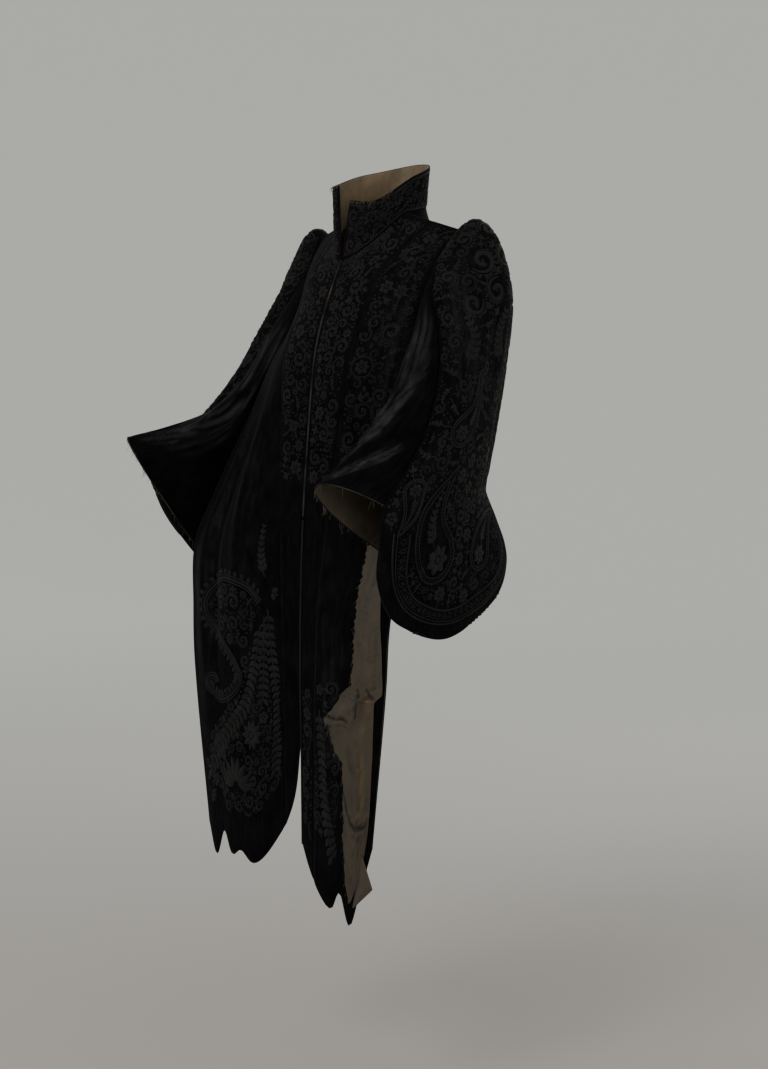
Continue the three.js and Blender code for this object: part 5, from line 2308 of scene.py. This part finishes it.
class Embroidery:
    """The applique of each trimmed piece."""

    def __init__(self, shop: Workshop) -> None:
        """Keeps the workshop."""
        self.shop = shop

    def sewn(self, panel: Panel) -> list[Piece]:
        """Makes the applique of one piece, or nothing where it is plain.

        Args:
            panel: the piece.

        Returns:
            The pieces of the applique.
        """
        draw = {
            "collar": self._collar,
            "front_left": self._strip,
            "front_right": self._strip,
            "side_front_left": self._left_side,
            "side_front_right": self._right_tab,
            "sleeve_outer_left": self._sleeve,
            "sleeve_outer_right": self._sleeve,
        }.get(panel.node)
        if draw is None:
            return []
        work = Needlework(panel.node, panel.cloth, sum(map(ord, panel.node)))
        draw(work)
        return work.made(self.shop, panel.node)

    def _collar(self, work: Needlework) -> None:
        """Small scrolls all round, between two cords.

        Args:
            work: the piece's needlework.
        """
        work.margin = 3.0
        across = np.linspace(work.cloth.across.min(), work.cloth.across.max(), 160)
        for down in (5.5, work.cloth.down.max() - 5.5):
            work.cord(np.column_stack([across, np.full(160, down)]), 0.8)
        work.fill((10.0, 7.4, 5.2, 3.2, 1.9), 1800, everywhere)

    def _strip(self, work: Needlework) -> None:
        """Scrolls and leaves down the centre front to the waist, and again low on the left tab.

        Args:
            work: the piece's needlework.
        """
        work.margin = 4.0
        low = 10.1 if work.name == "front_left" else SEWN_ALL_DOWN

        def covered(at: Array, share: Array, _: Array) -> Array:
            """The bodice, and on the left the tab's foot."""
            return (at < 6.6) | ((at > low) & (at < 11.6))

        work.fill((13.0, 9.6, 7.0, 4.6, 3.0, 1.9), 2200, covered)

    def _left_side(self, work: Needlework) -> None:
        """Scrolls round a medallion on the bodice, and a cone of leaves on the tab beside the loose lining.

        Args:
            work: the piece's needlework.
        """
        centre = np.array([-22.0, 262.0])
        angle = np.linspace(0, 2 * np.pi, 60)
        work.band(centre + heading(angle) * 16.5, 1.3, 1.5)
        work.flower(centre, 13, 7)
        for i, turn in enumerate(np.linspace(0, 2 * np.pi, 8)[:-1]):
            work.spiral(centre + heading(turn) * 27, 8.8, turn + 2.2, 1, 1.1)
            work.rooted_leaf(centre + heading(turn + 0.45) * 30, turn + 0.45, 10, 6)
        work.keep(centre, 37)
        work.spiral((12, 205), 17, 1.2, 1)
        work.keep((12, 205), 18)
        self._cone(work, [(-58, 800), (-50, 870), (-44, 940), (-26, 1010)], 14, 17)

        def covered(at: Array, share: Array, _: Array) -> Array:
            """The bodice, and the tab's strip beside the loose lining."""
            return (at < 6.9) | ((share < 0.4) & (at > 10.0) & (at < 11.4))

        work.fill((13.5, 10.0, 7.2, 4.7, 3.0, 1.9), 3600, covered)

    def _cone(self, work: Needlework, knots: list[tuple[float, float]], start: float, end: float) -> None:
        """A tall cone of leaves in two columns along a middle line.

        Args:
            work: the piece's needlework.
            knots: the middle line.
            start: the leaves' length at its start.
            end: their length at its end.
        """
        line = curved(knots, 16)
        work.band(resampled(line, 3.2), 1.5, 1.4)
        work.frond(line, start, end, 12.5, 0.95)
        work.keep_along(line, 9.0, min(start, end) * 0.95)

    def _right_tab(self, work: Needlework) -> None:
        """The great hooked cone on the right tab, with its flower, its fan and its curled tail.

        Args:
            work: the piece's needlework.
        """
        knots = [
            (-76, 654), (-44, 630), (2, 620), (40, 632), (64, 664), (54, 698), (20, 726), (-12, 756),
            (-22, 784), (0, 810), (34, 821), (62, 810), (66, 792), (50, 786), (42, 796),
        ]
        hook = resampled(curved(knots, 14), 3.0)
        normal = path_normals(hook)
        work.band(hook, 2.3, 1.6)
        for shift in (-4.8, 4.8):
            work.cord(hook + normal * shift, 0.9)
        for i, spot in enumerate(hook[4:-12:4]):
            side = normal[4 + 4 * i]
            work.rooted_leaf(spot - side * 6, math.atan2(-side[1], -side[0]) + 0.5, 10.5, 7.5)
        for spot in hook[::2]:
            work.keep(spot, 6.5)
        for x, y, radius, start, hand in (
            (22, 664, 16, 2.4, 1), (-16, 658, 15, 0.4, -1), (-40, 672, 9, 5.0, 1), (-14, 694, 13, 1.0, -1),
        ):
            work.scroll((x, y), radius, start, hand)
        self._cone(work, [(-92, 664), (-100, 740), (-108, 830), (-102, 940)], 13, 17)
        self._cone(work, [(-76, 690), (-62, 756), (-30, 826), (22, 878), (84, 944)], 13, 22)
        self._cone(work, [(-84, 676), (-82, 740), (-76, 812)], 9, 15)
        work.flower((-46, 868), 25, 10)
        work.keep((-46, 868), 26)
        fan = np.array([2.0, 962.0])
        for turn in np.linspace(-2.75, -0.4, 8):
            work.rooted_leaf(fan + heading(turn) * 8, turn, 44, 13)
        work.keep(fan + np.array([0, -24]), 30)
        spray = work.stem((-88, 612), (-80, 534), 0.12, 1.0)
        work.frond(spray, 15, 7, 10.5)
        work.keep_along(spray, 10, 12)
        work.flower((-112, 640), 13, 4, 0.4)
        cone = [
            (-90, 664), (-128, 760), (-138, 960), (-20, 1000), (112, 976), (104, 930), (20, 840), (-44, 740),
        ]
        comma = [
            (-80, 650), (-44, 630), (2, 622), (40, 632), (62, 666), (50, 700), (14, 730), (-30, 726),
            (-60, 690),
        ]

        def covered(at: Array, share: Array, spots: Array) -> Array:
            """The insides of the cone and of the hook."""
            return inside(spots, cone) | inside(spots, comma)

        work.fill((12.5, 9.2, 6.6, 4.4, 2.9, 1.9), 6000, covered)

    def _sleeve(self, work: Needlework) -> None:
        """Bold scrolls on the head, sprays down the arm, and teardrops on the bordered lobe.

        Args:
            work: the piece's needlework.
        """
        cloth = work.cloth
        lobe = Lobe(cloth)
        for inset in (22, 44):
            work.band(lobe.line(inset), 1.6, 1.7)
        work.cord(lobe.line(26.5), 0.7)
        middle = resampled(lobe.line(35), 13.0)
        for i, spot in enumerate(middle[1:-1]):
            work.spiral(spot, 6.3, i * 2.4, 1 if i % 2 else -1, 1.1)
        for inset in (30.5, 40.0):
            for spot in resampled(lobe.line(inset), 6.5):
                work.bead(spot, 2.4, 1.1)
        for inset in (8, 18, 27, 36, 45):
            for spot in lobe.line(inset)[::2]:
                work.keep(spot, 5.5)
        work.teardrop((48, 564), (80, 432), 41, -0.32)
        work.teardrop((124, 462), (130, 526), 18, -0.2)
        work.teardrop((-66, 572), (-112, 500), 27, -0.2)
        work.teardrop((-112, 430), (-84, 360), 22, 0.25)
        work.flower((-30, 634), 13, 8)
        work.keep((-30, 634), 15)
        work.teardrop((58, 372), (16, 286), 24, 0.28)
        for x, y, radius, start, hand in (
            (24, 104, 23, 0.6, 1), (-22, 94, 20, 2.5, -1), (2, 152, 22, 4.6, 1), (48, 174, 19, 3.6, -1),
            (-46, 144, 18, 5.4, 1), (42, 58, 15, 1.5, 1), (-2, 52, 14, 0.2, -1), (84, 130, 15, 2.0, 1),
        ):
            work.scroll((x, y), radius, start, hand, 1.25, 1.45)
        for knots in (
            ((62, 268), (48, 228), (58, 196)),
            ((-16, 262), (-8, 222), (-20, 184)),
            ((-70, 250), (-62, 215), (-66, 180)),
        ):
            line = curved(knots)
            work.band(resampled(line, 3.0), 1.2, 1.3)
            work.frond(line, 17, 9, 10.5)
            work.keep_along(line, 9, 14)
        work.fill((14.0, 10.5, 7.6, 5.0, 3.1, 1.9), 4200, everywhere)


@dataclass(frozen=True)
class Edging:
    """The piping and the frayed threads along the edges."""

    shop: Workshop
    front_piping: float = 0.85
    side_piping: float = 0.6
    cuff_piping: float = 1.0
    cuff_threads: int = 34
    collar_threads: int = 44
    lining_threads: int = 70
    longest: float = 15.0
    longest_on_lining: float = 10.0

    def threads(
        self, name: str, roots: Array, away: tuple[float, float, float], count: int, seed: int,
        longest: float | None = None,
    ) -> None:
        """Lays frayed threads along an edge.

        Args:
            name: the piece's name.
            roots: points of the edge in millimetres.
            away: a direction away from the cloth.
            count: how many threads there are.
            seed: for the random numbers.
            longest: the longest thread, if it isn't the usual one.
        """
        dice = np.random.default_rng(seed)
        lines = []
        t = np.linspace(0, 1, 9)[:, None]
        for _ in range(count):
            place = dice.random() * (len(roots) - 1.001)
            low = int(place)
            root = roots[low] + (roots[low + 1] - roots[low]) * (place - low)
            reach = (longest or self.longest) * dice.uniform(0.25, 1.0)
            lean = unit(np.array(away) + dice.normal(0, 0.45, 3))
            curl = unit(dice.normal(0, 1, 3)) * reach * 0.22
            path = root + lean * reach * 0.45 * t + np.array([0, 0, -1.0]) * reach * 0.65 * t**2
            path = path + curl * np.sin(np.pi * 1.7 * t) * t
            lines.append((path, np.full(len(t), dice.uniform(0.16, 0.27))))
        corded(self.shop, name, lines, self.shop.finishes.thread, 4)

    def piped(self, name: str, line: Array, radius: float, finish: Material) -> None:
        """Lays a cord along an edge.

        Args:
            name: the piece's name.
            line: the edge in millimetres.
            radius: of the cord.
            finish: its material.
        """
        path = resampled(line, 4.0)
        twist = 1 + 0.08 * np.sin(np.arange(len(path)) * 2.3)
        corded(self.shop, name, [(path, radius * twist)], finish, 6)

    def along(self, panel: Panel) -> None:
        """Finishes a piece's edges.

        Args:
            panel: the piece.
        """
        cloth, node, worn_piping = panel.cloth, panel.node, self.shop.finishes.piping
        if isinstance(panel, Front) and not panel.wide:
            edge = cloth.points[:, 0] + [0, -0.9, 0]
            worn = edge[:, 2] > WAIST_Z
            self.piped(f"{node}_piping", edge[worn], self.front_piping, worn_piping)
            self.piped(f"{node}_low_piping", edge[~worn], self.front_piping, self.shop.finishes.cord)
        elif node == "side_front_left":
            edge = cloth.points[cloth.at[:, -1] > JOIN_END + 0.3, -1]
            self.piped(f"{node}_piping", edge + [0, -0.6, 0], self.side_piping, worn_piping)
        elif isinstance(panel, InnerSleeve):
            cuff = cloth.points[-1]
            self.piped(f"{node}_cuff_piping", cuff, self.cuff_piping, worn_piping)
            self.threads(f"{node}_threads", cuff, (0, -0.3, -1.0), self.cuff_threads, 5)
        elif isinstance(panel, Collar):
            top = cloth.points[-1]
            for end, part in (("left", top[:22]), ("right", top[-26:])):
                self.threads(f"{node}_threads_{end}", part, (-0.4, -0.8, 0.5), self.collar_threads, 9)

    def on_lining(self, lining: LooseLining) -> None:
        """Frays the loose lining's inner edge.

        Args:
            lining: the lining.
        """
        edge = lining.cloth.points[:, 0]
        away = (-0.5, -0.8, -0.4)
        self.threads("loose_lining_threads", edge, away, self.lining_threads, 11, self.longest_on_lining)


@dataclass(frozen=True)
class Studio:
    """The camera, the pale floor and the soft lights."""

    azimuth: float = 48.0
    distance: float = 3.6
    lens: float = 74.83
    height: float = -0.207
    tilt: float = 4.926
    shift_right: float = -0.00648
    floor_z: float = -1.42
    flat_radius: float = 4.5
    curve: float = 5.0
    around: int = 96

    def camera(self) -> None:
        """Sets the camera at the photograph's angle."""
        a = math.radians(self.azimuth)
        t = math.radians(self.tilt)
        ahead = Vector((-math.sin(a), math.cos(a), 0))
        right = Vector((math.cos(a), math.sin(a), 0))
        data = bpy.data.cameras.new("camera")
        data.lens, data.sensor_width, data.clip_end = self.lens, 36.0, 200.0
        made = linked("camera", data)
        made.location = -ahead * self.distance + right * self.shift_right + Vector((0, 0, self.height))
        look = ahead * math.cos(t) - Vector((0, 0, 1)) * math.sin(t)
        made.rotation_euler = look.to_track_quat("-Z", "Y").to_euler()
        bpy.context.scene.camera = made

    def floor(self) -> None:
        """Lays the floor, which rises in a wide curve all round."""
        count = self.around
        angle = np.linspace(0, 2 * np.pi, count, endpoint=False)
        bend = np.linspace(0, np.pi / 2, 14)
        reach = [1.5, 3.0, *(self.flat_radius + self.curve * np.sin(bend))]
        rise = [0.0, 0.0, *(self.curve * (1 - np.cos(bend)))]
        points = [[0.0, 0.0, self.floor_z]]
        for r, z in zip(reach, rise):
            points += [[r * math.cos(a), r * math.sin(a), self.floor_z + z] for a in angle]
        faces: list[list[int]] = [[0, 1 + i, 1 + (i + 1) % count] for i in range(count)]
        for start in range(1, 1 + (len(reach) - 1) * count, count):
            for i in range(count):
                j = (i + 1) % count
                faces.append([start + i, start + count + i, start + count + j, start + j])
        made = linked("floor", mesh_of("floor", np.array(points) / MM, faces))
        made.data.materials.append(Floor().material())

    def lights(self) -> None:
        """Sets soft lights and a pale world."""
        world = bpy.data.worlds.new("studio")
        world.use_nodes = True
        world.node_tree.nodes["Background"].inputs[0].default_value = (0.86, 0.865, 0.84, 1.0)
        world.node_tree.nodes["Background"].inputs[1].default_value = 0.62
        bpy.context.scene.world = world
        target = Vector((0, -0.05, -0.5))
        for name, azimuth, height, reach, size, power in (
            ("key", 12.0, 1.5, 3.2, 1.6, 62.0),
            ("fill", 95.0, 0.6, 3.6, 2.2, 34.0),
            ("rim", 200.0, 1.7, 3.0, 1.4, 30.0),
        ):
            a = math.radians(azimuth)
            place = Vector((math.sin(a) * reach, -math.cos(a) * reach, height))
            data = bpy.data.lights.new(name, "AREA")
            data.shape, data.size, data.energy = "DISK", size, power
            made = linked(name, data)
            made.location = place
            made.rotation_euler = (target - place).to_track_quat("-Z", "Y").to_euler()


def panels() -> list[Panel]:
    """The velvet pieces, in the order they are made.

    Returns:
        The pieces, not yet built.
    """
    free = (NOT_SEWN, NOT_SEWN)
    made: list[Panel] = [Collar("collar", first=0.0, last=1.0, cell=4.0, seams=free, dense=(60, 260))]
    for side in (LEFT, RIGHT):
        name, sign = side.name, side.sign
        front = {"sign": sign, "facing": -1, "side": side, "last": FRONT_END}
        sleeve = {"sign": sign, "side": side}
        made += [
            Front(f"front_{name}", seams=(NOT_SEWN, SEWN_ALL_DOWN), **front),
            Front(f"side_front_{name}", seams=(SEWN_ALL_DOWN, JOIN_END), wide=True, **front),
            Back(f"back_{name}", sign=sign, last=BACK_END, seams=(SEWN_ALL_DOWN, JOIN_END), middle=0.0),
            OuterSleeve(f"sleeve_outer_{name}", first=CAP_START, last=LOBE_END, **sleeve),
            # The inner sleeves get a stronger painted sheen highlight on their creases.
            InnerSleeve(f"sleeve_inner_{name}", first=GUSSET_START, cell=4.2, crease_highlight=0.9, **sleeve),
        ]
    return made


def main() -> None:
    """Builds the dolman and its studio."""
    logging.basicConfig(level=logging.INFO, format="%(message)s")
    finishes = Finishes()
    shop = Workshop(finishes)
    embroidery, edging = Embroidery(shop), Edging(shop)
    studio = Studio()
    studio.camera()
    for panel in panels():
        inner = finishes.collar_lining if isinstance(panel, Collar) else finishes.lining
        made = panel.built(shop, inner)
        panel.declared(made, embroidery.sewn(panel))
        edging.along(panel)
    lining = LooseLining()
    lining.built(shop)
    edging.on_lining(lining)
    shop.clear()
    for made in bpy.data.objects:
        if made.type == "MESH":
            log.info("%s: %d triangles", made.name, sum(len(p.vertices) - 2 for p in made.data.polygons))
    studio.floor()
    studio.lights()


if __name__ == "__main__":
    main()
